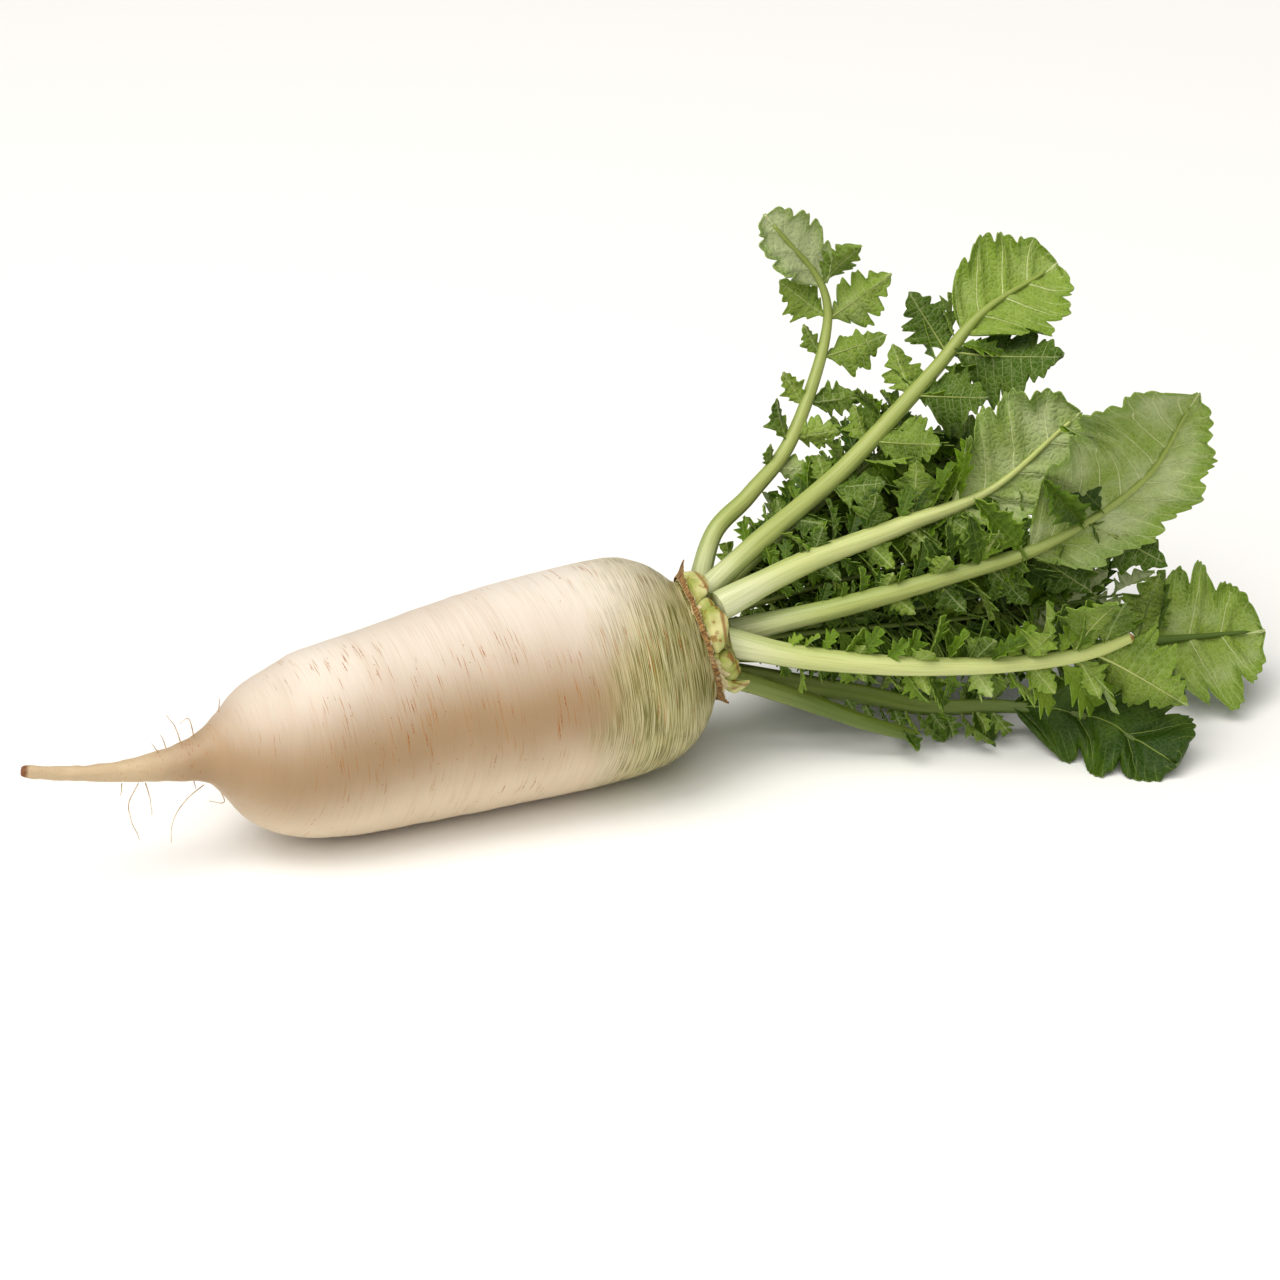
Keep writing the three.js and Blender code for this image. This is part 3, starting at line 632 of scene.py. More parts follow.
def curve_point(points, t):
    """A point at a share t of the smooth curve through the points."""
    place = t * (len(points) - 1)
    index = min(int(place), len(points) - 2)
    w = place - index
    p1, p2 = points[index], points[index + 1]
    p0 = points[index - 1] if index > 0 else 2 * p1 - p2
    p3 = points[index + 2] if index + 2 < len(points) else 2 * p2 - p1
    m1, m2 = (p2 - p0) / 2, (p3 - p1) / 2
    return (
        (2 * w**3 - 3 * w**2 + 1) * p1 + (w**3 - 2 * w**2 + w) * m1
        + (3 * w**2 - 2 * w**3) * p2 + (w**3 - w**2) * m2
    )


def rib_frame(leaf, t):
    """The place on a rib, with the ways along it, to its upper side and across it."""
    end = min(t, 1.0)
    ahead, behind = min(end + 1e-3, 1), max(end - 1e-3, 0)
    along = (curve_point(leaf["line"], ahead) - curve_point(leaf["line"], behind)).normalized()
    point = curve_point(leaf["line"], end) + along * (t - end) * leaf["length"]
    up = Vector(leaf["face"])
    up = (up - along * up.dot(along)).normalized()
    return point, along, up, along.cross(up)


def wobble(n):
    """A steady number from -1 to 1 for each place in the order, so that no two leaflets are alike."""
    wave = math.sin(n * 12.9898) * 43758.5453
    return 2 * (wave - math.floor(wave)) - 1


for leaf in LEAVES:
    leaf["line"] = [Vector(p) for p in leaf["rib"]]
    steps = [curve_point(leaf["line"], i / RIB_STEPS) for i in range(RIB_STEPS + 1)]
    leaf["length"] = sum((b - a).length for a, b in zip(steps, steps[1:]))
print("longest rib:", round(max(leaf["length"] for leaf in LEAVES)), "mm")

# %% [markdown]
# ## Sheets and tubes
# A leaf blade is two flat grids, bent to the same form with the blade's thickness between them and bridged round
# the rim. The solidify operator would do the same, but it throws long spikes at the sharp teeth. A stalk is one
# grid rolled up, with its seam merged and its ends drawn to a point. Both keep attributes that say where each point
# lies on the leaf, so that veins and streaks follow it. On a blade, leaf_place is the way from the midrib in
# millimetres, the number of the side vein and the room between two side veins. On a stalk it is the way round
# and the way along. leaf_tone is how light the green is, the share of the way to the margin or the end, and the
# number of the fine vein.

# %% Sheets
# A leaf's materials, in their order. A stub, a knob and a thread have only one.
UPPER, UNDER, STALK, CUT = 0, 1, 2, 3
ONLY = 0
BLADE_THICK = 0.5
TABLE_CLEAR = 0.85


def open_leaf():
    """An empty bmesh with the attributes that the leaf finishes read."""
    shape = bmesh.new()
    shape.verts.layers.float_vector.new("leaf_place")
    shape.verts.layers.float_vector.new("leaf_tone")
    return shape


def join_part(shape, part):
    """Adds a finished part to a leaf. A part is made on its own, because an operator is slow on a big mesh."""
    carrier = bpy.data.meshes.new("carrier")
    part.to_mesh(carrier)
    part.free()
    shape.from_mesh(carrier)
    bpy.data.meshes.remove(carrier)


def add_sheet(shape, columns, rows, place_of, tone=0.5, thick=BLADE_THICK):
    """Adds a thin plate. place_of(across, along) gives a point in millimetres, its leaf_place and its fine vein."""
    part = open_leaf()
    upper = bmesh.ops.create_grid(part, x_segments=columns, y_segments=rows, size=0.5)["verts"]
    under = bmesh.ops.create_grid(part, x_segments=columns, y_segments=rows, size=0.5)["verts"]
    on_leaf, toned = part.verts.layers.float_vector["leaf_place"], part.verts.layers.float_vector["leaf_tone"]
    for vert, twin in zip(upper, under):
        u = 2 * vert.co.x
        point, on, fine = place_of(u, vert.co.y + 0.5)
        point.z = max(point.z, TABLE_CLEAR)
        vert[on_leaf] = twin[on_leaf] = on
        vert[toned] = twin[toned] = (tone, abs(u), fine)
        vert.co = point * MM
    upper_faces = list({face for vert in upper for face in vert.link_faces})
    under_faces = list({face for vert in under for face in vert.link_faces})
    for face in upper_faces:
        face.material_index = UPPER
        face.normal_update()
    for vert, twin in zip(upper, under):
        vert.normal_update()
        twin.co = vert.co - vert.normal * thick * MM
    bmesh.ops.reverse_faces(part, faces=under_faces)
    for face in under_faces:
        face.material_index = UNDER
    rim = {edge for face in upper_faces + under_faces for edge in face.edges if len(edge.link_faces) == 1}
    for face in bmesh.ops.bridge_loops(part, edges=list(rim))["faces"]:
        face.material_index = UNDER
    join_part(shape, part)


print("blade thickness:", BLADE_THICK, "mm")

# %% Tubes
NEVER = 2.0


def add_tube(shape, sides, rows, place_of, material=STALK, tone=0.5, cut_from=NEVER):
    """Adds a closed tube. place_of(angle, along) gives a point in millimetres; its ends are drawn to a point."""
    part = open_leaf()
    grid = bmesh.ops.create_grid(part, x_segments=sides, y_segments=rows, size=0.5)["verts"]
    on_leaf, toned = part.verts.layers.float_vector["leaf_place"], part.verts.layers.float_vector["leaf_tone"]
    for vert in grid:
        angle, v = (vert.co.x + 0.5) * math.tau, vert.co.y + 0.5
        point, reach = place_of(angle, v)
        vert[on_leaf] = (math.cos(angle), math.sin(angle), reach)
        vert[toned] = (tone, v, 0)
        vert.co = point * MM
    for face in part.faces:
        is_cut = min(vert[toned][1] for vert in face.verts) > cut_from
        face.material_index = CUT if is_cut else material
    bmesh.ops.remove_doubles(part, verts=grid, dist=1e-6)
    bmesh.ops.recalc_face_normals(part, faces=part.faces[:])
    join_part(shape, part)


def round_end(v, share):
    """1 along a tube and a quarter circle down to 0 over the last share of its way, at both ends."""
    off = max(0.0, 1 - v / share, 1 - (1 - v) / share)
    return math.sqrt(max(0.0, 1 - off * off))


print("a tube's width at half its cap:", round(round_end(0.005, 0.01), 2))

# %% [markdown]
# ## Stalks
# A stalk is half round below and flatter above, with a shallow groove, and low ribs run along it like cords under
# the skin. It is thickest at its foot, which is set a little way into the crown, and thins to a vein inside the
# blade. The near leaf was snapped at its end, so its stalk ends in dry brown flesh.

# %% Stalks
STALK_SIDES = 32
STALK_ROWS = 90
CAP_SHARE = 0.012
CUT_FROM = 0.984


def rib_width(leaf, t):
    """Half the rib's width at a share t of its way: it flares at its foot and thins towards its end."""
    t = max(t, 0)
    flare = 1 - 0.14 * smooth(t, 0, 0.15)
    if leaf.get("blade"):
        flare *= 1 - 0.5 * smooth(t, leaf["blade"][0] - 0.04, leaf["blade"][0] + 0.16)
    return leaf["end"] + (leaf["foot"] - leaf["end"]) * (1 - t ** leaf["taper"]) * flare


def add_stalk(shape, leaf, number):
    """Adds a leaf's stalk and midrib."""
    def place_of(angle, v):
        t = min(max((v - CAP_SHARE) / (1 - 2 * CAP_SHARE), 0), 1)
        point, along, up, side = rib_frame(leaf, t)
        width = rib_width(leaf, t)
        closing = round_end(v, CAP_SHARE)
        across, lift = math.cos(angle), math.sin(angle)
        cords = 1 + 0.02 * math.cos(11 * angle + number) * min(width / 3, 1) + 0.01 * math.cos(23 * angle)
        cords += 0.05 * noise.noise(Vector((t * 9, number * 5, across)))
        height = width * (0.72 if lift > 0 else 1.0)
        groove = 0.22 * width * math.exp(-(across / 0.35) ** 2) if lift > 0 else 0
        past = (v - CAP_SHARE - t * (1 - 2 * CAP_SHARE)) * leaf["length"]
        return (
            point + along * past + side * across * width * cords * closing
            + up * (lift * height * cords - groove * lift) * closing
        ), t * leaf["length"]
    cut_from = CUT_FROM if leaf["name"] == "front" else NEVER
    add_tube(shape, STALK_SIDES, STALK_ROWS, place_of, STALK, 0.5 + 0.5 * wobble(number + 0.7), cut_from)


print("stalk faces:", STALK_SIDES * STALK_ROWS)

# %% [markdown]
# ## Blades and leaflets
# The broad end of a leaf is cut into rounded lobes, and each lobe has small teeth that lean towards the tip. Side
# veins run to the lobes, finer ones to the teeth, and the blade puffs up a little between them, which gives radish
# leaves their quilted look. A flat picture of a leaf on a plane would be quicker, but it has no edge of its own
# and no puffs that catch the light.

# %% Lobes, puffs and crumples
def lobe_at(v, lobes, roundness=2.4):
    """0 in the notch between two lobes and 1 on a lobe's point, which leans towards the leaf's tip."""
    f = (v * lobes) % 1
    f = f / 1.24 if f < 0.62 else 0.5 + (f - 0.62) / 0.76
    return 1 - abs(2 * f - 1) ** roundness


def puff(u, phase, room):
    """How far the blade stands up between two side veins, in millimetres."""
    off = abs((phase + 0.5) % 1 - 0.5)
    return 0.085 * room * smooth(off, 0.0, 0.3) * (1 - abs(u) ** 6)


def crumple(point, size):
    """A soft uneven bend that no two blades share, from -size to size."""
    return size * noise.noise(point * 0.06)


print("lobe at its point:", lobe_at(0.62, 1))

# %% The broad end blade
BLADE_END = 1.04
TOOTH_ROOM = 4.6
VEIN_ROOM = 12


def add_blade(shape, leaf, number):
    """Adds the broad blade along the end of a rib."""
    start, right, left, lobes, cut, bend, sweep = leaf["blade"]
    room = (BLADE_END - start) * leaf["length"] / lobes
    is_lobed = cut > 0.3
    teeth = lobes * max(2, round(room / TOOTH_ROOM))
    veins = lobes if is_lobed else lobes * max(1, round(room / VEIN_ROOM))
    room *= lobes / veins
    tooth_depth = (0.8 + 0.028 * (right + left) / 2) * (0.7 if is_lobed else 1)

    def place_of(u, v):
        width, reach = (right if u > 0 else left), abs(u)
        outline = math.sin(math.pi * (0.04 + 0.94 * v**0.85)) ** 0.6
        closing = smooth(v, 1.02, 0.93)
        slip = 0.035 * noise.noise(Vector((v * 6, number * 2.3, u * 0.6)))
        tooth = lobe_at(max(v + slip, 0), teeth, 1.5)
        lobe = lobe_at(max(v + slip, 0), lobes, 2.6 if is_lobed else 2.2)
        half = width * outline * (1 - cut * (1 - lobe))
        half = max(0.5, (half - tooth_depth * (1 - tooth)) * closing)
        forward = (sweep * (1 - 0.5 * v) * reach * half + 0.8 * reach**4 * tooth) / leaf["length"]
        point, _, up, side = rib_frame(leaf, start + (BLADE_END - start) * v + forward)
        turn = bend * reach
        wave = 0.09 * half * reach * math.sin(9 * v + 2 * u)
        frill = (0.03 if is_lobed else 0.07) * half * reach**2 * math.sin(math.tau * v * lobes + 3 * u + number)
        frill += 1.6 * reach**3 * noise.noise(Vector((v * teeth * 0.6, number, 3 * u)))
        phase = v * veins - 0.62 + (1.5 if veins > lobes else 0.6) * (1 - reach)
        point = point + side * (u * half * math.cos(turn)) + up * (half * reach * math.sin(turn) + wave + frill)
        point = point + up * (puff(u, phase, room) + reach * crumple(point, 3.0))
        return point, (u * half, phase, room), v * teeth - 0.62 + 1.1 * (1 - reach)
    add_sheet(shape, 32, teeth * 7, place_of, leaf["tone"][0] + 0.05 * wobble(number + 0.4))


print("room between teeth:", TOOTH_ROOM, "mm")

# %% [markdown]
# The leaflets on the stalk are narrow at their base and fan out, and they bend down under their own weight. The
# longest have a raised midrib. Where each one stands on the rib is worked out apart from its form, because the
# small leaflets need the same.

# %% Large leaflets
def leaflet_ways(leaf, t, hand, order, lean, turned, rise):
    """Where a leaflet stands on its rib, with the ways along it, to its upper side and across it."""
    base, rib_along, rib_up, rib_side = rib_frame(leaf, t)
    lean = math.radians(lean + 8 * wobble(order))
    along = rib_along * math.cos(lean) + rib_side * hand * math.sin(lean)
    along += rib_up * (rise + 0.2 * wobble(order + 0.3))
    along.normalize()
    up = (rib_up - along * rib_up.dot(along)).normalized()
    up.rotate(Quaternion(along, math.radians(turned + 20 * wobble(order + 0.6))))
    return base, along, up, along.cross(up)


def leaflet_tone(leaf, order):
    """How light a leaflet's green is: its leaf's own tone, changed a little by its number."""
    return min(max(leaf["tone"][1] + 0.3 * wobble(order + 0.9), 0), 1)


def add_leaflet(shape, leaf, t, hand, size, order, lean=60, broad=0.4, turned=0.0, rise=0.0):
    """Adds one of the large leaflets, on the side -1 or 1 of the rib."""
    base, along, up, side = leaflet_ways(leaf, t, hand, order, lean, turned, rise)
    lobes = 4 if size > 24 else 3 if size > 13 else 2
    teeth = max(5, round(size / 3.9))
    tooth_depth = 1.4 + 0.03 * size
    room = size / teeth
    curl = 0.5 * wobble(order + 0.8)

    def centre(v):
        return base + along * size * (0.8 * v + 0.15 * v**3) - up * size * (0.3 * v * v + 0.12 * curl * v**3)

    def place_of(u, v):
        reach, shifted = abs(u), max(v + 0.06 * noise.noise(Vector((v * 4, order * 1.7, u * 1.5))), 0)
        outline = max(0.0, math.sin(math.pi * v**0.92)) ** 0.8 * smooth(v, 0, 0.3)
        outline *= 1.08 + 0.25 * noise.noise(Vector((order * 2.9, u, 0)))
        half = size * broad * outline * (1 - 0.38 * (1 - lobe_at(shifted, lobes, 1.7)))
        half -= min(tooth_depth, 0.45 * half) * (1 - lobe_at(shifted, teeth, 1.15))
        half = max(0.45 * (1 - v) + 0.05, half)
        fold = 0.1 * half * reach * reach * math.sin(math.tau * v * lobes + order) + puff(u, v * teeth - 0.62, room)
        fold += 0.16 * size * reach * noise.noise(Vector((v * 1.9, u, order * 3.1)))
        forward = 0.48 * half * reach * (1 - 0.7 * v)
        point = centre(v) + along * forward + side * (u * half) + up * (0.35 * half * reach + fold)
        return point, (u * half, v * teeth - 0.62, room), 0.5
    tone = leaflet_tone(leaf, order)
    add_sheet(shape, 10, teeth * 6, place_of, tone)
    if size > 26:
        def vein_of(angle, v):
            thick = (0.3 + 0.006 * size) * (1 - 0.75 * v) * round_end(v, 0.05)
            place = centre(0.93 * v) - up * 0.3
            return place + (side * math.cos(angle) + up * math.sin(angle)) * thick, 120 + 60 * v
        add_tube(shape, 6, 14, vein_of, STALK, tone)


tones = [leaflet_tone(LEAVES[0], order) for order in range(12)]
print("tones of the first leaf's leaflets:", round(min(tones), 2), "to", round(max(tones), 2))

# %% [markdown]
# The small leaflets between the large ones are cut so deep that they look feathery. There are hundreds of them, so
# each is a sheet with one row of faces on each side of its midrib, a few dozen faces in all.

# %% Small feathery leaflets
FEATHER_THICK = 0.4


def add_feather(shape, leaf, t, hand, size, order, turned):
    """Adds one small feathery leaflet: two flat halves cut nearly to the midrib, in a few dozen faces."""
    base, along, up, side = leaflet_ways(leaf, t, hand, order, 60, turned, 0.0)
    base += along * 0.8 * rib_width(leaf, t)
    lobes = 3 if size < 14 else 4
    curl = 0.5 * wobble(order + 0.8)

    def place_of(u, v):
        lobe = math.floor(v * lobes + 0.2)
        tip = max(0.3, lobe_at(min(v, 0.999), lobes, 1.1) * (1 + 0.35 * wobble(order + lobe * 0.37 + u * 0.11)))
        outline = math.sin(math.pi * (0.06 + 0.9 * v**0.9)) ** 0.7 * smooth(v, -0.02, 0.3)
        half = 0.3 + size * 0.4 * outline * tip * (1 - 0.2 * v)
        middle = base + along * size * v - up * size * (0.25 * v * v + 0.3 * curl * v**3)
        point = middle + along * (0.7 * half * abs(u)) + side * (u * half) + up * (0.3 + 0.3 * curl) * half * abs(u)
        return point, (u * half, v * lobes - 0.62, 2.0), 0.5
    add_sheet(shape, 2, lobes * 3, place_of, leaflet_tone(leaf, order), FEATHER_THICK)


print("feathery leaflet thickness:", FEATHER_THICK, "mm")

# %% [markdown]
# ## Leaf finishes
# The upper side of a radish leaf is a waxy deep green. The underside is paler, greyer and matt, because it is
# covered by fine hairs, and its veins stand out nearly white. Both finishes share one vein pattern: a side vein
# is where the leaf's own vein number is whole, and the midrib is where the way from it is nought. Painting veins by
# hand would need a picture, and this needs only numbers. A noise of 17 mm makes the veins sway. They are 0.8 mm
# wide at the midrib and 0.2 mm at the margin. The green clouds are 18 mm across, and the net between the veins has
# meshes of 2.4 mm, about three times as coarse as the real ones, which would not show.

# %% Veins
def line_at_whole(tree, number, room, half_width):
    """1 on the line where the number is whole and 0 off it. The room between two lines is in millimetres."""
    fraction = add_node(tree, "ShaderNodeMath", {
        0: add_node(tree, "ShaderNodeMath", {0: number, 1: 0.5}, operation="ADD").outputs[0],
    }, operation="FRACT").outputs[0]
    off = add_node(tree, "ShaderNodeMath", {
        0: add_node(tree, "ShaderNodeMath", {
            0: add_node(tree, "ShaderNodeMath", {0: fraction, 1: 0.5}, operation="SUBTRACT").outputs[0],
        }, operation="ABSOLUTE").outputs[0],
        1: room,
    }, operation="MULTIPLY").outputs[0]
    return add_node(tree, "ShaderNodeMapRange", {
        0: add_node(tree, "ShaderNodeMath", {0: off, 1: half_width}, operation="DIVIDE").outputs[0], 1: 0.4, 2: 1.1,
        3: 1.0, 4: 0.0,
    }, **SOFT_STEP).outputs[0]


def vein_pattern(tree):
    """How much of a point is vein and fine vein, the leaf's own tone, and the share of the way to its margin."""
    place = add_node(tree, "ShaderNodeAttribute", attribute_name="leaf_place").outputs["Vector"]
    off_rib, number, room = add_node(tree, "ShaderNodeSeparateXYZ", {0: place}).outputs
    sway = add_node(tree, "ShaderNodeTexNoise", {
        "Vector": add_node(tree, "ShaderNodeTexCoord").outputs["Object"], "Scale": 60.0, "Detail": 2.0,
    }).outputs[0]
    number = add_node(tree, "ShaderNodeMath", {
        0: sway,
        1: add_node(tree, "ShaderNodeMath", {
            0: 3.5, 1: add_node(tree, "ShaderNodeMath", {0: room, 1: 5.0}, operation="MAXIMUM").outputs[0],
        }, operation="DIVIDE").outputs[0],
        2: number,
    }, operation="MULTIPLY_ADD").outputs[0]
    toned = add_node(tree, "ShaderNodeAttribute", attribute_name="leaf_tone").outputs["Vector"]
    tone, share, fine = add_node(tree, "ShaderNodeSeparateXYZ", {0: toned}).outputs
    broadest = add_node(tree, "ShaderNodeMath", {
        0: add_node(tree, "ShaderNodeMath", {0: room, 1: 13.0}, operation="MINIMUM").outputs[0], 1: 0.03, 2: 0.06,
    }, operation="MULTIPLY_ADD").outputs[0]
    thin = add_node(tree, "ShaderNodeMath", {
        0: add_node(tree, "ShaderNodeMath", {0: 1.1, 1: share}, operation="SUBTRACT").outputs[0], 1: broadest,
    }, operation="MULTIPLY").outputs[0]
    half_width = add_node(tree, "ShaderNodeMath", {0: thin, 1: 0.06}, operation="ADD").outputs[0]
    side_vein = line_at_whole(tree, number, room, half_width)
    side_vein = add_node(tree, "ShaderNodeMath", {
        0: side_vein,
        1: add_node(tree, "ShaderNodeMapRange", {0: room, 1: 3.0, 2: 9.0, 3: 0.3}, **SOFT_STEP).outputs[0],
    }, operation="MULTIPLY").outputs[0]
    middle = add_node(tree, "ShaderNodeMapRange", {
        0: add_node(tree, "ShaderNodeMath", {0: off_rib}, operation="ABSOLUTE").outputs[0], 1: 0.15, 2: 0.4, 3: 1.0,
        4: 0.0,
    }, **SOFT_STEP).outputs[0]
    middle = add_node(tree, "ShaderNodeMath", {
        0: middle,
        1: add_node(tree, "ShaderNodeMapRange", {0: room, 1: 3.0, 2: 8.0, 3: 0.3}, **SOFT_STEP).outputs[0],
    }, operation="MULTIPLY").outputs[0]
    vein = add_node(tree, "ShaderNodeMath", {0: side_vein, 1: middle}, operation="MAXIMUM").outputs[0]
    tooth_vein = line_at_whole(tree, fine, TOOTH_ROOM, 0.22)
    fine_vein = add_node(tree, "ShaderNodeMath", {
        0: tooth_vein, 1: add_node(tree, "ShaderNodeMapRange", {0: share, 1: 0.25, 2: 0.6}, **SOFT_STEP).outputs[0],
    }, operation="MULTIPLY").outputs[0]
    return vein, fine_vein, tone, share


print("room between fine veins:", TOOTH_ROOM, "mm")

# %% The two sides of a leaf
def leaf_side(name, dark, middle, light, edge, vein_colour, vein_share, net_share, roughness, bump_share):
    """One side of a leaf: three greens mixed leaf by leaf and cloud by cloud, a margin, veins and a fine net."""
    material, tree, shader = new_material(
        name, Roughness=roughness, IOR=1.42, Specular_IOR_Level=0.25, Subsurface_Weight=0.12,
        Subsurface_Scale=0.0012
    )
    shader.inputs["Subsurface Radius"].default_value = (0.6, 1.0, 0.2)
    vein, fine_vein, tone, share = vein_pattern(tree)
    place = add_node(tree, "ShaderNodeTexCoord").outputs["Object"]
    cloud = add_node(tree, "ShaderNodeTexNoise", {"Vector": place, "Scale": 55.0, "Detail": 4.0}).outputs[0]
    mixed = add_node(tree, "ShaderNodeMath", {
        0: add_node(tree, "ShaderNodeMath", {0: cloud, 1: 0.5}, operation="SUBTRACT").outputs[0], 1: 0.9, 2: tone,
    }, operation="MULTIPLY_ADD").outputs[0]
    green = add_node(tree, "ShaderNodeMix", {
        0: add_node(tree, "ShaderNodeMapRange", {0: mixed, 1: 0.0, 2: 0.5}, **SOFT_STEP).outputs[0],
        6: linear(dark), 7: linear(middle),
    }, **COLOUR_MIX).outputs[2]
    green = add_node(tree, "ShaderNodeMix", {
        0: add_node(tree, "ShaderNodeMapRange", {0: mixed, 1: 0.5, 2: 1.0}, **SOFT_STEP).outputs[0], 6: green,
        7: linear(light),
    }, **COLOUR_MIX).outputs[2]
    margin = add_node(tree, "ShaderNodeMath", {
        0: add_node(tree, "ShaderNodeMapRange", {0: share, 1: 0.5, 2: 1.0}, **SOFT_STEP).outputs[0],
        1: add_node(tree, "ShaderNodeMapRange", {0: tone, 1: 0.0, 2: 0.5, 3: 0.1, 4: 0.7}, **SOFT_STEP).outputs[0],
    }, operation="MULTIPLY").outputs[0]
    green = add_node(tree, "ShaderNodeMix", {0: margin, 6: green, 7: linear(edge)}, **COLOUR_MIX).outputs[2]
    net = add_node(
        tree, "ShaderNodeTexVoronoi", {"Vector": place, "Scale": 420.0}, feature="DISTANCE_TO_EDGE"
    ).outputs["Distance"]
    mesh_line = add_node(tree, "ShaderNodeMapRange", {
        0: net, 1: 0.0, 2: 0.12, 3: 1.0, 4: 0.0,
    }, **SOFT_STEP).outputs[0]
    green = add_node(tree, "ShaderNodeMix", {
        0: add_node(tree, "ShaderNodeMath", {0: mesh_line, 1: net_share}, operation="MULTIPLY").outputs[0],
        6: green, 7: linear(vein_colour),
    }, **COLOUR_MIX).outputs[2]
    green = add_node(tree, "ShaderNodeMix", {
        0: add_node(tree, "ShaderNodeMath", {0: fine_vein, 1: vein_share * 0.4}, operation="MULTIPLY").outputs[0],
        6: green, 7: linear(vein_colour),
    }, **COLOUR_MIX).outputs[2]
    green = add_node(tree, "ShaderNodeMix", {
        0: add_node(tree, "ShaderNodeMath", {0: vein, 1: vein_share}, operation="MULTIPLY").outputs[0], 6: green,
        7: linear(vein_colour),
    }, **COLOUR_MIX).outputs[2]
    tree.links.new(green, shader.inputs["Base Color"])
    raised = add_node(tree, "ShaderNodeMath", {
        0: vein, 1: -1.5,
        2: add_node(tree, "ShaderNodeMapRange", {0: net, 1: 0.0, 2: 0.35}, **SOFT_STEP).outputs[0],
    }, operation="MULTIPLY_ADD").outputs[0]
    bump = add_node(tree, "ShaderNodeBump", {"Height": raised, "Strength": bump_share, "Distance": 0.0005})
    tree.links.new(bump.outputs[0], shader.inputs["Normal"])
    return material


waxy_upper = leaf_side(
    "waxy_leaf_upper_side", "#263f04", "#557212", "#8fa634", "#688a18", "#a3b458", 0.45, 0.03, 0.5, 0.5
)
downy_under = leaf_side(
    "downy_leaf_underside", "#3f5a0c", "#7f9638", "#abb786", "#6c8a22", "#d6dda4", 0.65, 0.1, 0.65, 0.6
)
print("leaf sides:", waxy_upper.name, downy_under.name)

# %% [markdown]
# A stalk is juicy green flesh under a thin shiny skin. It is nearly white at its foot, where the leaves shaded it,
# and greener towards its end and its edges, with faint lines between its cords, 0.4 mm wide and 30 mm long, and
# dark specks half a millimetre across. Its own place attribute gives the way round it, so the lines run along it
# whatever way it bends. The old near stalks are pale and the younger ones fresh green. The stalks that lie low, at
# the back and in the heart of the bunch get a dark finish, which is painted shade. Cut flesh dries to a matt tan,
# with clouds of 1.7 mm.

# %% Stalk skin and cut ends
def stalk_skin(name, foot, middle, far, line):
    """The finish of a stalk, from its foot to its end, with fine lines along it."""
    material, tree, shader = new_material(
        name, Roughness=0.4, IOR=1.42, Subsurface_Weight=0.12, Subsurface_Scale=0.003
    )
    shader.inputs["Subsurface Radius"].default_value = (0.7, 1.0, 0.3)
    place = add_node(tree, "ShaderNodeAttribute", attribute_name="leaf_place").outputs["Vector"]
    around, _, reach = add_node(tree, "ShaderNodeSeparateXYZ", {0: place}).outputs
    stretched = add_node(
        tree, "ShaderNodeMapping", {"Vector": place, "Scale": (7.0, 7.0, 0.02)}
    ).outputs["Vector"]
    lines = add_node(tree, "ShaderNodeTexNoise", {"Vector": stretched, "Scale": 1.6, "Detail": 4.0}).outputs[0]
    flesh = add_node(tree, "ShaderNodeMix", {
        0: add_node(tree, "ShaderNodeMapRange", {0: reach, 1: 0, 2: 40}, **SOFT_STEP).outputs[0], 6: linear(foot),
        7: linear(middle),
    }, **COLOUR_MIX).outputs[2]
    flesh = add_node(tree, "ShaderNodeMix", {
        0: add_node(tree, "ShaderNodeMapRange", {0: reach, 1: 60, 2: 200}, **SOFT_STEP).outputs[0], 6: flesh,
        7: linear(far),
    }, **COLOUR_MIX).outputs[2]
    flesh = add_node(tree, "ShaderNodeMix", {
        0: add_node(tree, "ShaderNodeMapRange", {0: lines, 1: 0.46, 2: 0.66, 4: 0.4}, **SOFT_STEP).outputs[0],
        6: flesh, 7: linear(line),
    }, **COLOUR_MIX).outputs[2]
    edge = add_node(tree, "ShaderNodeMapRange", {
        0: add_node(tree, "ShaderNodeMath", {0: around}, operation="ABSOLUTE").outputs[0], 1: 0.55, 2: 1.0,
    }, **SOFT_STEP).outputs[0]
    flesh = add_node(tree, "ShaderNodeMix", {
        0: add_node(tree, "ShaderNodeMath", {0: edge, 1: 0.45}, operation="MULTIPLY").outputs[0], 6: flesh,
        7: linear(line),
    }, **COLOUR_MIX).outputs[2]
    place = add_node(tree, "ShaderNodeTexCoord").outputs["Object"]
    speck = add_node(tree, "ShaderNodeTexVoronoi", {"Vector": place, "Scale": 260.0})
    pick = add_node(tree, "ShaderNodeSeparateColor", {0: speck.outputs["Color"]}).outputs[0]
    mark = add_node(tree, "ShaderNodeMath", {
        0: add_node(tree, "ShaderNodeMapRange", {
            0: speck.outputs["Distance"], 1: 0.05, 2: 0.1, 3: 1.0, 4: 0.0,
        }, **SOFT_STEP).outputs[0],
        1: add_node(tree, "ShaderNodeMapRange", {0: pick, 1: 0.93, 2: 0.95}, **SOFT_STEP).outputs[0],
    }, operation="MULTIPLY").outputs[0]
    flesh = add_node(tree, "ShaderNodeMix", {
        0: add_node(tree, "ShaderNodeMath", {0: mark, 1: 0.6}, operation="MULTIPLY").outputs[0], 6: flesh,
        7: linear("#5a6a2a"),
    }, **COLOUR_MIX).outputs[2]
    tree.links.new(flesh, shader.inputs["Base Color"])
    bump = add_node(tree, "ShaderNodeBump", {"Height": lines, "Strength": 0.2, "Distance": 0.0005})
    tree.links.new(bump.outputs[0], shader.inputs["Normal"])
    return material


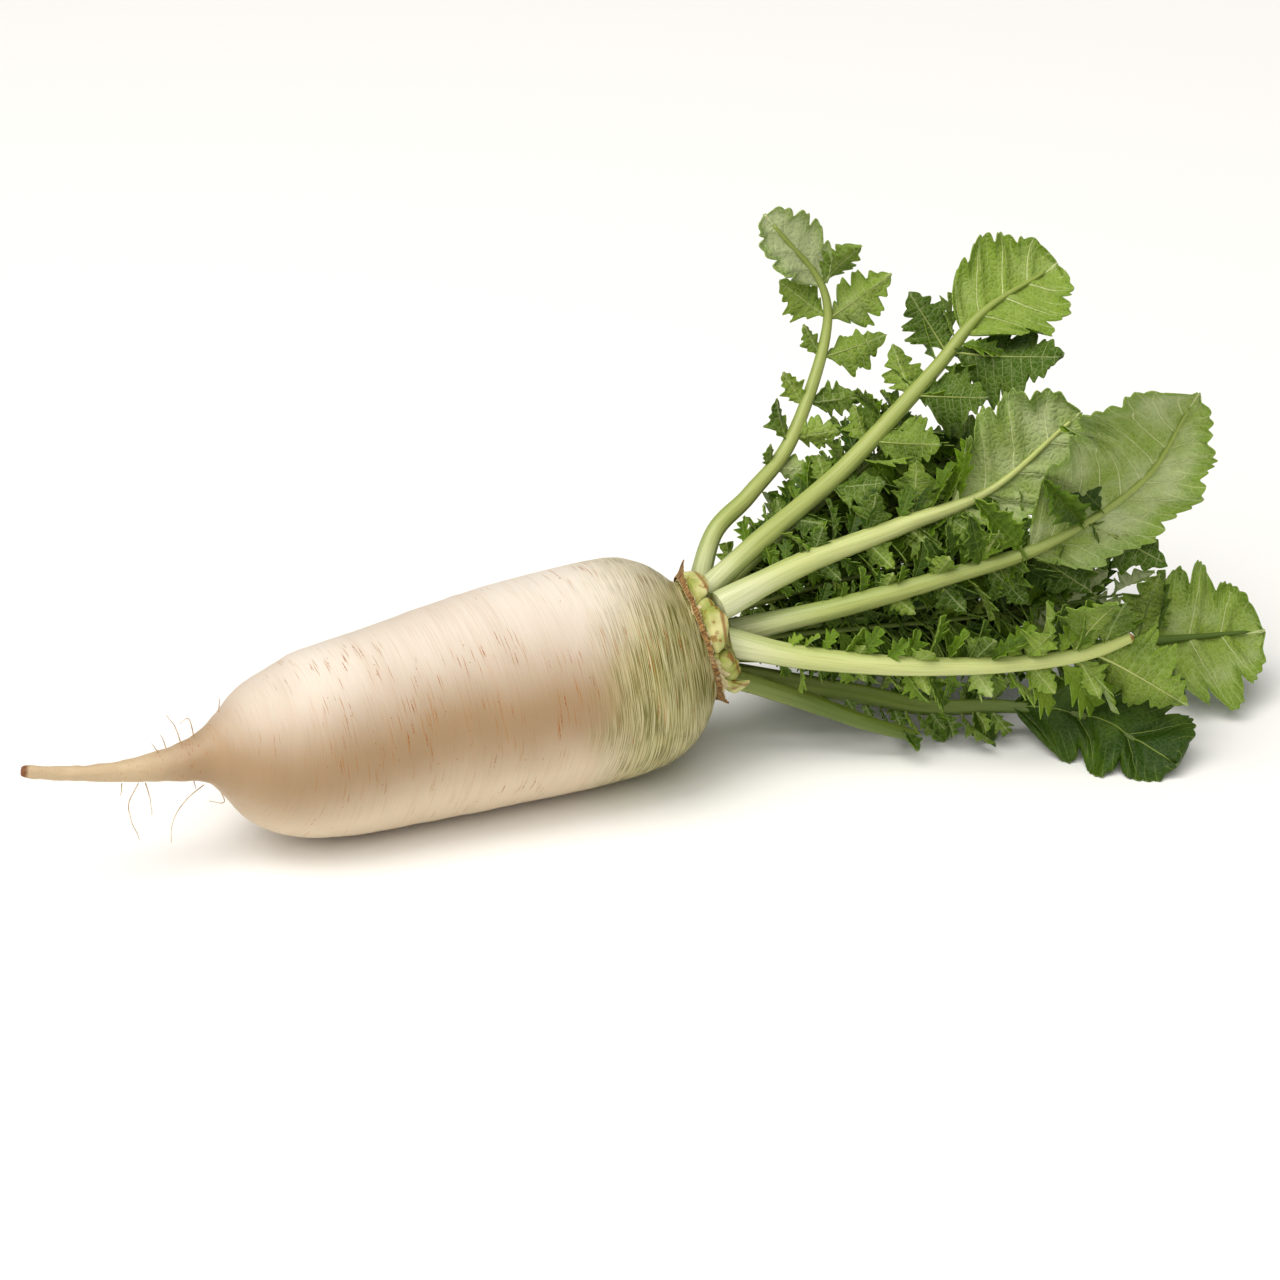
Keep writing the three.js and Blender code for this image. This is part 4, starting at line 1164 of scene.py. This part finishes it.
pale_stalk = stalk_skin("pale_leaf_stalk", "#dcdfb4", "#c6cc88", "#b6c06e", "#94a648")
fresh_stalk = stalk_skin("fresh_leaf_stalk", "#d0d5a4", "#a9b366", "#8c9c47", "#6f8534")
# A darker copy of the stalk finish: painted shade for the stalks that lie in shadow.
shaded_dark_stalk = stalk_skin("shade_painted_leaf_stalk", "#9aa656", "#66782c", "#51681e", "#425616")
cut_flesh, tree, shader = new_material("dried_cut_flesh", Roughness=0.8, IOR=1.4)
place = add_node(tree, "ShaderNodeTexCoord").outputs["Object"]
drying = add_node(tree, "ShaderNodeTexNoise", {"Vector": place, "Scale": 600.0, "Detail": 4.0}).outputs[0]
brown = add_node(tree, "ShaderNodeMix", {
    0: add_node(tree, "ShaderNodeMapRange", {0: drying, 1: 0.35, 2: 0.65}, **SOFT_STEP).outputs[0],
    6: linear("#c9a765"), 7: linear("#8f6a30"),
}, **COLOUR_MIX).outputs[2]
tree.links.new(brown, shader.inputs["Base Color"])
print("stalk finishes:", pale_stalk.name, fresh_stalk.name, shaded_dark_stalk.name, cut_flesh.name)

# %% [markdown]
# ## The leaves
# Each leaf is one piece: its stalk, its blade and its leaflets, joined at the rib as they grew. Many small feathery
# leaflets stand between the large pairs, turned every way, and on the inner leaves they make the dense dark heart
# of the bunch. The broad leaf also has a few narrow leaflets that stand up from its rib. Each leaflet's own number
# in the order gives its curl, lean and tone, so nothing is left to chance from run to run.

# %% Stalk finishes and small leaflets
# These stalks lie low, at the back and in the heart of the bunch, and get the dark finish, which is painted shade.
SHADED_STALKS = {"short", "table", "back", "back_low", "heart_low", "heart_high", "end"}
FRESH_STALKS = {"broad", "far_top", "top"}
FIRST_FILLER = 0.13
LEAF_ORDER, FILLER_ORDER, NARROW_ORDER, BRIGHT_ORDER = 100, 1000, 7000, 8000


def size_at(leaf, t, hand):
    """The length that a leaflet on one side would have at t, between those of the pairs below and above it."""
    column = 1 if hand > 0 else 2
    pairs = [pair for pair in leaf["leaflets"] if pair[column] > 0]
    if t <= pairs[0][0]:
        return pairs[0][column] * (0.5 + 0.5 * t / pairs[0][0])
    for low, high in zip(pairs, pairs[1:]):
        if t <= high[0]:
            return low[column] + (high[column] - low[column]) * (t - low[0]) / (high[0] - low[0])
    return pairs[-1][column]


def add_fillers(shape, leaf, number):
    """Adds the small feathery leaflets between a leaf's pairs."""
    count, share = leaf["fill"]
    last = leaf.get("last", min(leaf["leaflets"][-1][0] + 0.06, 0.8))
    for step in range(count):
        t = FIRST_FILLER + (last - FIRST_FILLER) * (step + 0.5) / count
        for hand in (1, -1):
            order = FILLER_ORDER + LEAF_ORDER * number + 2 * step + (hand + 1) / 2
            size = min(max(share * size_at(leaf, t, hand), 9), 22) * (1 + 0.3 * wobble(order + 0.5))
            add_feather(shape, leaf, t, hand, size, order, 180 + 90 * wobble(order + 0.2))


def stalk_finish(leaf):
    """The finish of a leaf's stalk."""
    if leaf["name"] in SHADED_STALKS:
        return shaded_dark_stalk
    return fresh_stalk if leaf["name"] in FRESH_STALKS else pale_stalk


print("small leaflets on each side:", {leaf["name"]: leaf["fill"][0] for leaf in LEAVES})

# %% The leaves
# Three leaflets are turned about their own ribs by these degrees, because their neighbours push them aside.
TURNED = {105: 30, 205: -30, 206: -30}
NARROW = [(0.4, 21, 100), (0.46, 26, 95), (0.55, 34, 100), (0.67, 35, 98), (0.71, 27, 90)]

for number, leaf in enumerate(LEAVES):
    shape = open_leaf()
    add_stalk(shape, leaf, number)
    if leaf["blade"]:
        add_blade(shape, leaf, number)
    for pair, (share, right, left, *form) in enumerate(leaf["leaflets"]):
        for hand, size in ((1, right), (-1, left)):
            order = LEAF_ORDER * number + 2 * pair + (hand + 1) / 2
            if size > 0:
                t = share + 0.01 * wobble(order + 0.1)
                add_leaflet(shape, leaf, t, hand, size, order, *form, turned=TURNED.get(order, 0))
    if leaf["name"] == "broad":
        for order, (t, size, lean) in enumerate(NARROW):
            add_leaflet(shape, leaf, t, 1, size, order + NARROW_ORDER, lean, broad=0.24, turned=180, rise=-0.4)
    add_fillers(shape, leaf, number)
    finish_piece(
        leaf["name"] + "_leaf", shape, [waxy_upper, downy_under, stalk_finish(leaf), cut_flesh],
        ["leaf_" + leaf["name"]],
    )

# %% [markdown]
# In the heart of the bunch stand young leaves that are hardly more than a thin rib with feathery leaflets. They are
# too fine to be solids of their own, so they are made only here, as one piece between the big leaves. The last one
# reaches out into the light and ends in four brighter leaflets.

# %% The young leaves of the heart
YOUNG = [
    ([(78, 0, 58), (120, -8, 66), (165, -20, 74), (205, -30, 82)], (0.2, 0.9, 0.1)),
    ([(78, -4, 50), (125, -18, 54), (170, -32, 60), (214, -44, 66)], (0.2, 0.9, 0.3)),
    ([(78, -6, 48), (120, -12, 44), (170, -22, 41), (232, -38, 42)], (0.1, 0.9, -0.3)),
    ([(78, 2, 64), (112, 5, 84), (145, 10, 102), (178, 14, 122)], (0.3, 0.8, -0.5)),
    ([(78, 0, 42), (130, -2, 36), (180, -12, 32), (232, -24, 34)], (0.2, 0.7, 0.6)),
    ([(78, 6, 58), (122, 14, 68), (166, 18, 80), (212, 12, 96)], (0, 0.9, 0.2)),
    ([(78, -6, 50), (125, -18, 50), (180, -31, 50), (242, -46, 54)], (0.1, 0.9, 0.1)),
]
YOUNG_NUMBER = 20
shape = open_leaf()
for number, (rib, face) in enumerate(YOUNG):
    leaf = dict(
        name="young", face=face, foot=1.7, end=0.5, taper=1.2, tone=(0.2, 0.22), fill=(26, 1.0), last=0.96,
        leaflets=[(0.2, 12, 12), (0.5, 18, 18), (0.8, 20, 20)], line=[Vector(p) for p in rib],
    )
    leaf["length"] = sum((b - a).length for a, b in zip(leaf["line"], leaf["line"][1:]))
    add_stalk(shape, leaf, YOUNG_NUMBER + number)
    add_fillers(shape, leaf, YOUNG_NUMBER + number)
for order, (t, hand, size) in enumerate([(0.8, -1, 26), (0.87, 1, 24), (0.93, -1, 24), (0.98, 1, 22)]):
    add_leaflet(shape, dict(leaf, tone=(0.8, 0.8)), t, hand, size, order + BRIGHT_ORDER, lean=40)
# Their stalks get the dark finish, painted shade for the heart of the bunch.
finish_piece("young_heart_leaves", shape, [waxy_upper, downy_under, shaded_dark_stalk])

# %% [markdown]
# ## The crown
# Round the crown stands a dry papery ring, which is what is left of the oldest leaves, and three short stubs of
# leaves that were cut away. All of it is placed by a way along the crown's own axis, a way out from it and an
# angle round it.

# %% Places on the crown
CROWN_X = 66
crown_point, crown_along, crown_far, crown_up = root_frame(CROWN_X)


def crown_place(forward, radius, degrees):
    """A place on the crown, where 0 degrees is the near side and 90 is up."""
    angle = math.radians(degrees)
    return (
        crown_point + crown_along * forward - crown_far * radius * math.cos(angle)
        + crown_up * radius * math.sin(angle)
    )


COLLAR_RADIUS = 25.6
COLLAR_POINTS = [(118, 6, 26), (-56, 3, 24), (220, 4, 30)]


def collar_edge(around, height, ragged):
    """How far forward the collar's edge stands at an angle round the crown."""
    tear = ragged * (noise.noise(Vector((around / 4, 3, 0))) + 0.7 * noise.noise(Vector((around / 1.3, 8, 0))))
    for centre, rise, width in COLLAR_POINTS:
        off = abs((around - centre + 540) % 360 - 180) / width
        tear += rise * max(0, 1 - off) ** 1.3
    return max(0.8, height + tear)


print("crown at", [round(c, 1) for c in crown_point])

# %% [markdown]
# The papery ring is dried leaf skin: thin, matt and brown, with a torn edge, paler where it is thicker. It is two
# sheets, one inside the other, that stand out in three points. Inside them stand a few single scales, each a narrow
# pointed sheet that leans on the stalks. Its fibres are 0.7 mm wide, three times as coarse as real ones, and its
# stains 5 mm across.

# %% Dried leaf skin
paper, tree, shader = new_material("dried_leaf_scale", Roughness=0.85, IOR=1.45)
place = add_node(tree, "ShaderNodeAttribute", attribute_name="leaf_place").outputs["Vector"]
fibre = add_node(tree, "ShaderNodeTexNoise", {
    "Vector": add_node(tree, "ShaderNodeMapping", {"Vector": place, "Scale": (1.4, 0.25, 0.25)}).outputs[0],
    "Scale": 1.0, "Detail": 4.0,
}).outputs[0]
stain = add_node(tree, "ShaderNodeTexNoise", {
    "Vector": add_node(tree, "ShaderNodeTexCoord").outputs["Object"], "Scale": 210.0, "Detail": 3.0,
}).outputs[0]
toned = add_node(tree, "ShaderNodeAttribute", attribute_name="leaf_tone").outputs["Vector"]
tone, share, _ = add_node(tree, "ShaderNodeSeparateXYZ", {0: toned}).outputs
dry = add_node(tree, "ShaderNodeMix", {
    0: add_node(tree, "ShaderNodeMapRange", {0: fibre, 1: 0.35, 2: 0.65}, **SOFT_STEP).outputs[0],
    6: linear("#a9824c"), 7: linear("#624220"),
}, **COLOUR_MIX).outputs[2]
pale = add_node(tree, "ShaderNodeMath", {
    0: add_node(tree, "ShaderNodeMapRange", {
        0: add_node(tree, "ShaderNodeMath", {0: stain, 1: tone}, operation="ADD").outputs[0], 1: 0.9, 2: 1.15,
    }, **SOFT_STEP).outputs[0],
    1: add_node(tree, "ShaderNodeMapRange", {0: share, 1: 1.0, 2: 0.6}, **SOFT_STEP).outputs[0],
}, operation="MULTIPLY").outputs[0]
dry = add_node(tree, "ShaderNodeMix", {0: pale, 6: dry, 7: linear("#cfc294")}, **COLOUR_MIX).outputs[2]
tree.links.new(dry, shader.inputs["Base Color"])
bump = add_node(tree, "ShaderNodeBump", {"Height": fibre, "Strength": 0.6, "Distance": 0.0008})
tree.links.new(bump.outputs[0], shader.inputs["Normal"])
print("collar finish:", paper.name)

# %% The papery ring and its scales
COLLAR_THICK = 0.35
SCALE_THICK = 0.4
shape = open_leaf()
for radius, height, ragged, tone in [(0.0, 2.5, 1.5, 0.35), (-1.2, 3.0, 1.6, 0.8)]:
    def place_of(u, v):
        around = 180 * u
        reach = v * collar_edge(around + radius * 30, height, ragged)
        flare = COLLAR_RADIUS + radius + 0.4 * reach + 0.03 * reach * reach
        flare += 0.6 * v * noise.noise(Vector((around / 5, v * 2, radius)))
        tilt = 0.2 + 1.0 * (1 + math.sin(math.radians(around))) + 0.5 * noise.noise(Vector((around / 14, 2, 0)))
        return crown_place(tilt + 0.7 * reach, flare, around), (around * 0.4, reach, radius), 0.0
    add_sheet(shape, 260, 8, place_of, tone, COLLAR_THICK)

SCALES = [
    (-2, 8, 5, 25, 0.9), (-14, 7, 6, 25.2, 0.75), (56, 5, 5, 25.2, 0.8), (128, 7, 8, 25, 0.6),
    (150, 7, 8, 25, 0.5), (180, 8, 8, 25, 0.7), (210, 7, 9, 25, 0.4), (245, 8, 8, 25, 0.6), (275, 6, 7, 25, 0.4),
]
for number, (around, half_width, height, radius, tone) in enumerate(SCALES):
    def place_of(u, v):
        half = half_width * (1 - v**1.6) * (1 + 0.2 * noise.noise(Vector((v * 5, u, number))))
        lean = radius - 1.2 + 0.32 * height * v * v + 0.5 * noise.noise(Vector((u, v * 3, number)))
        point = crown_place(1 + height * v, lean - 1.2 * u * u, around + 2.2 * u * half)
        return point, (u * half, v * height, 9), 0.0
    add_sheet(shape, 8, 12, place_of, tone, SCALE_THICK)
finish_piece("dry_collar_scales", shape, [paper, paper], ["collar"])

# %% [markdown]
# A stub is a leaf's foot, cut off short and dried at its edge: pale yellow-green, swollen where it comes out from
# behind the papery ring, creased along its middle, and with a brown rim round its cut face. The lowest one is torn
# to a point. Its flesh is clouded in patches of 11 mm, with brown spots of 4 mm.

# %% The finish of a stub
stub_flesh, tree, shader = new_material(
    "drying_stalk_stub", Roughness=0.5, IOR=1.42, Subsurface_Weight=0.1, Subsurface_Scale=0.003
)
place = add_node(tree, "ShaderNodeTexCoord").outputs["Object"]
spots = add_node(tree, "ShaderNodeTexNoise", {"Vector": place, "Scale": 240.0, "Detail": 4.0}).outputs[0]
pale = add_node(tree, "ShaderNodeMix", {
    0: add_node(tree, "ShaderNodeMapRange", {
        0: add_node(tree, "ShaderNodeTexNoise", {"Vector": place, "Scale": 90.0, "Detail": 3.0}).outputs[0],
        1: 0.35, 2: 0.65,
    }, **SOFT_STEP).outputs[0],
    6: linear("#cdc88a"), 7: linear("#99a148"),
}, **COLOUR_MIX).outputs[2]
pale = add_node(tree, "ShaderNodeMix", {
    0: add_node(tree, "ShaderNodeMapRange", {0: spots, 1: 0.57, 2: 0.68, 4: 0.85}, **SOFT_STEP).outputs[0], 6: pale,
    7: linear("#8f5f26"),
}, **COLOUR_MIX).outputs[2]
toned = add_node(tree, "ShaderNodeAttribute", attribute_name="leaf_tone").outputs["Vector"]
_, along, _ = add_node(tree, "ShaderNodeSeparateXYZ", {0: toned}).outputs
rim = add_node(tree, "ShaderNodeMath", {
    0: add_node(tree, "ShaderNodeMapRange", {0: along, 1: 0.74, 2: 0.8}, **SOFT_STEP).outputs[0],
    1: add_node(tree, "ShaderNodeMapRange", {0: along, 1: 0.92, 2: 0.84}, **SOFT_STEP).outputs[0],
}, operation="MULTIPLY").outputs[0]
pale = add_node(tree, "ShaderNodeMix", {
    0: add_node(tree, "ShaderNodeMath", {0: rim, 1: 0.8}, operation="MULTIPLY").outputs[0], 6: pale,
    7: linear("#8a5a26"),
}, **COLOUR_MIX).outputs[2]
pale = add_node(tree, "ShaderNodeMix", {
    0: add_node(tree, "ShaderNodeMapRange", {0: along, 1: 0.88, 2: 0.94, 4: 0.5}, **SOFT_STEP).outputs[0], 6: pale,
    7: linear("#b6b169"),
}, **COLOUR_MIX).outputs[2]
tree.links.new(pale, shader.inputs["Base Color"])
bump = add_node(tree, "ShaderNodeBump", {"Height": spots, "Strength": 0.4, "Distance": 0.0006})
tree.links.new(bump.outputs[0], shader.inputs["Normal"])
print("stub finish:", stub_flesh.name)

# %% The stubs
STUB_OUT = 22
STUBS = [("upper", 86, 21, 6, 12, 0.1), ("side", 31, 17, 6, 13, -0.15), ("lower", -33, 14, 5, 13, 0.3)]
for name, around, width, depth, height, slant in STUBS:
    shape = open_leaf()
    two_lumps = 0.3 if name == "upper" else 0.06

    def place_of(angle, v):
        closing = round_end(v, 0.3)
        girth = (1 - (0.85 if name == "lower" else 0.45) * v**2) * closing
        across, out = math.cos(angle) * girth, math.sin(angle) * girth
        out *= 1 - two_lumps * math.exp(-(across / 0.22) ** 2)
        forward = v * height * (1 + slant * math.cos(angle) * closing)
        round_off = math.degrees(across * width / 2 / STUB_OUT)
        lump = 0.9 * noise.noise(Vector((math.cos(angle) * 1.4, math.sin(angle) * 1.4 + v * 2, around)))
        radius = STUB_OUT - 3 + 6.6 * smooth(v, 0.08, 0.5) + out * depth / 2 * 1.15 + lump
        return crown_place(forward, radius, around - round_off), v
    add_tube(shape, 40, 30, place_of, ONLY)
    finish_piece(f"cut_stub_{name}", shape, [stub_flesh], [f"stub_{name}"])

# %% [markdown]
# Between the stubs the crown swells in small knobs, the buds and scars of leaves that fell off. Each is a closed
# tube pulled in at both ends, with the stubs' own finish.

# %% The knobs
KNOBS = [
    (57, 9, 3.4, 9), (50, 5, 3, 10), (-2, 8, 3.8, 9), (-10, 5, 3.2, 10), (8, 4, 2.8, 5), (-20, 8, 3, 10),
    (112, 6, 3, 8),
]
shape = open_leaf()
for number, (around, width, depth, forward) in enumerate(KNOBS):
    def place_of(angle, v):
        closing = math.sin(math.pi * v) ** 0.6
        across, out = math.cos(angle) * closing, math.sin(angle) * closing
        lump = 0.5 * noise.noise(Vector((across * 1.6, out * 1.6 + v * 3, number * 7)))
        radius = STUB_OUT + 0.5 + out * depth + lump
        turned = around + math.degrees(across * width / 2 / STUB_OUT)
        return crown_place(forward * (0.35 + 0.9 * v), radius, turned), v
    add_tube(shape, 16, 14, place_of, ONLY)
finish_piece("crown_knobs", shape, [stub_flesh])

# %% [markdown]
# ## Root hairs
# A few thin side roots are left on the tap root. They are dry threads half a millimetre thick, curled by their own
# drying. A curve with a bevel would do, but a rolled grid gives them a tapering end. Dry root bark is matt and
# straw-coloured, with darker stretches of 3 mm.

# %% Dry root bark
hair_root, tree, shader = new_material("dry_side_root", Roughness=0.7, IOR=1.45)
place = add_node(tree, "ShaderNodeTexCoord").outputs["Object"]
cloud = add_node(tree, "ShaderNodeTexNoise", {"Vector": place, "Scale": 300.0}).outputs[0]
thread = add_node(tree, "ShaderNodeMix", {
    0: add_node(tree, "ShaderNodeMapRange", {0: cloud, 1: 0.35, 2: 0.65}, **SOFT_STEP).outputs[0],
    6: linear("#d9c09a"), 7: linear("#a88257"),
}, **COLOUR_MIX).outputs[2]
tree.links.new(thread, shader.inputs["Base Color"])
print("thread finish:", hair_root.name)

# %% Root hairs
HAIRS = [
    [(-163.4, 0.8, 38.5), (-168.3, -0.7, 31.3), (-168.2, -2.2, 23.8), (-166.1, -3.7, 15.7)],
    [(-161.1, 0.6, 38.0), (-160.1, -0.9, 31.6), (-160.3, -2.4, 24.6)],
    [(-138.0, 0.0, 32.0), (-146.3, -1.5, 27.7), (-152.4, -3.0, 20.8), (-154.3, -4.5, 11.9)],
    [(-146.2, 0.1, 51.1), (-148.2, -1.4, 58.9), (-152.0, -2.9, 66.9)],
    [(-141.0, 0.0, 52.5), (-142.9, -1.5, 62.0), (-147.3, -3.0, 61.6)],
    [(-152.1, 0.2, 50.7), (-154.1, -1.3, 58.1)],
    [(-155.2, 0.3, 49.6), (-158.1, -1.2, 55.1)],
    [(-130.9, 0.0, 61.3), (-130.3, -1.5, 68.1)],
    [(-133.0, 0.0, 30.0), (-131.4, -1.5, 23.2), (-138.1, -3.0, 26.1)],
    [(-142.6, 0.0, 35.8), (-142.1, -1.5, 31.5)],
    [(-169.9, 1.3, 39.4), (-171.0, -0.2, 34.8)],
]
shape = open_leaf()
for number, hair in enumerate(HAIRS):
    line = [Vector(p) for p in hair]

    def place_of(angle, v):
        point = curve_point(line, v)
        along = (curve_point(line, min(v + 0.01, 1)) - curve_point(line, max(v - 0.01, 0))).normalized()
        side = along.cross(Vector((0, 1, 0))).normalized()
        up = side.cross(along)
        radius = 0.26 * (1 - 0.55 * v) * round_end(v, 0.04)
        curl = Vector((1, 0.5, 0)) * 0.7 * noise.noise(Vector((v * 4, number * 3, 0))) * v
        return point + curl + (side * math.cos(angle) + up * math.sin(angle)) * radius, v
    add_tube(shape, 6, 26, place_of, ONLY)
finish_piece("side_root_threads", shape, [hair_root])
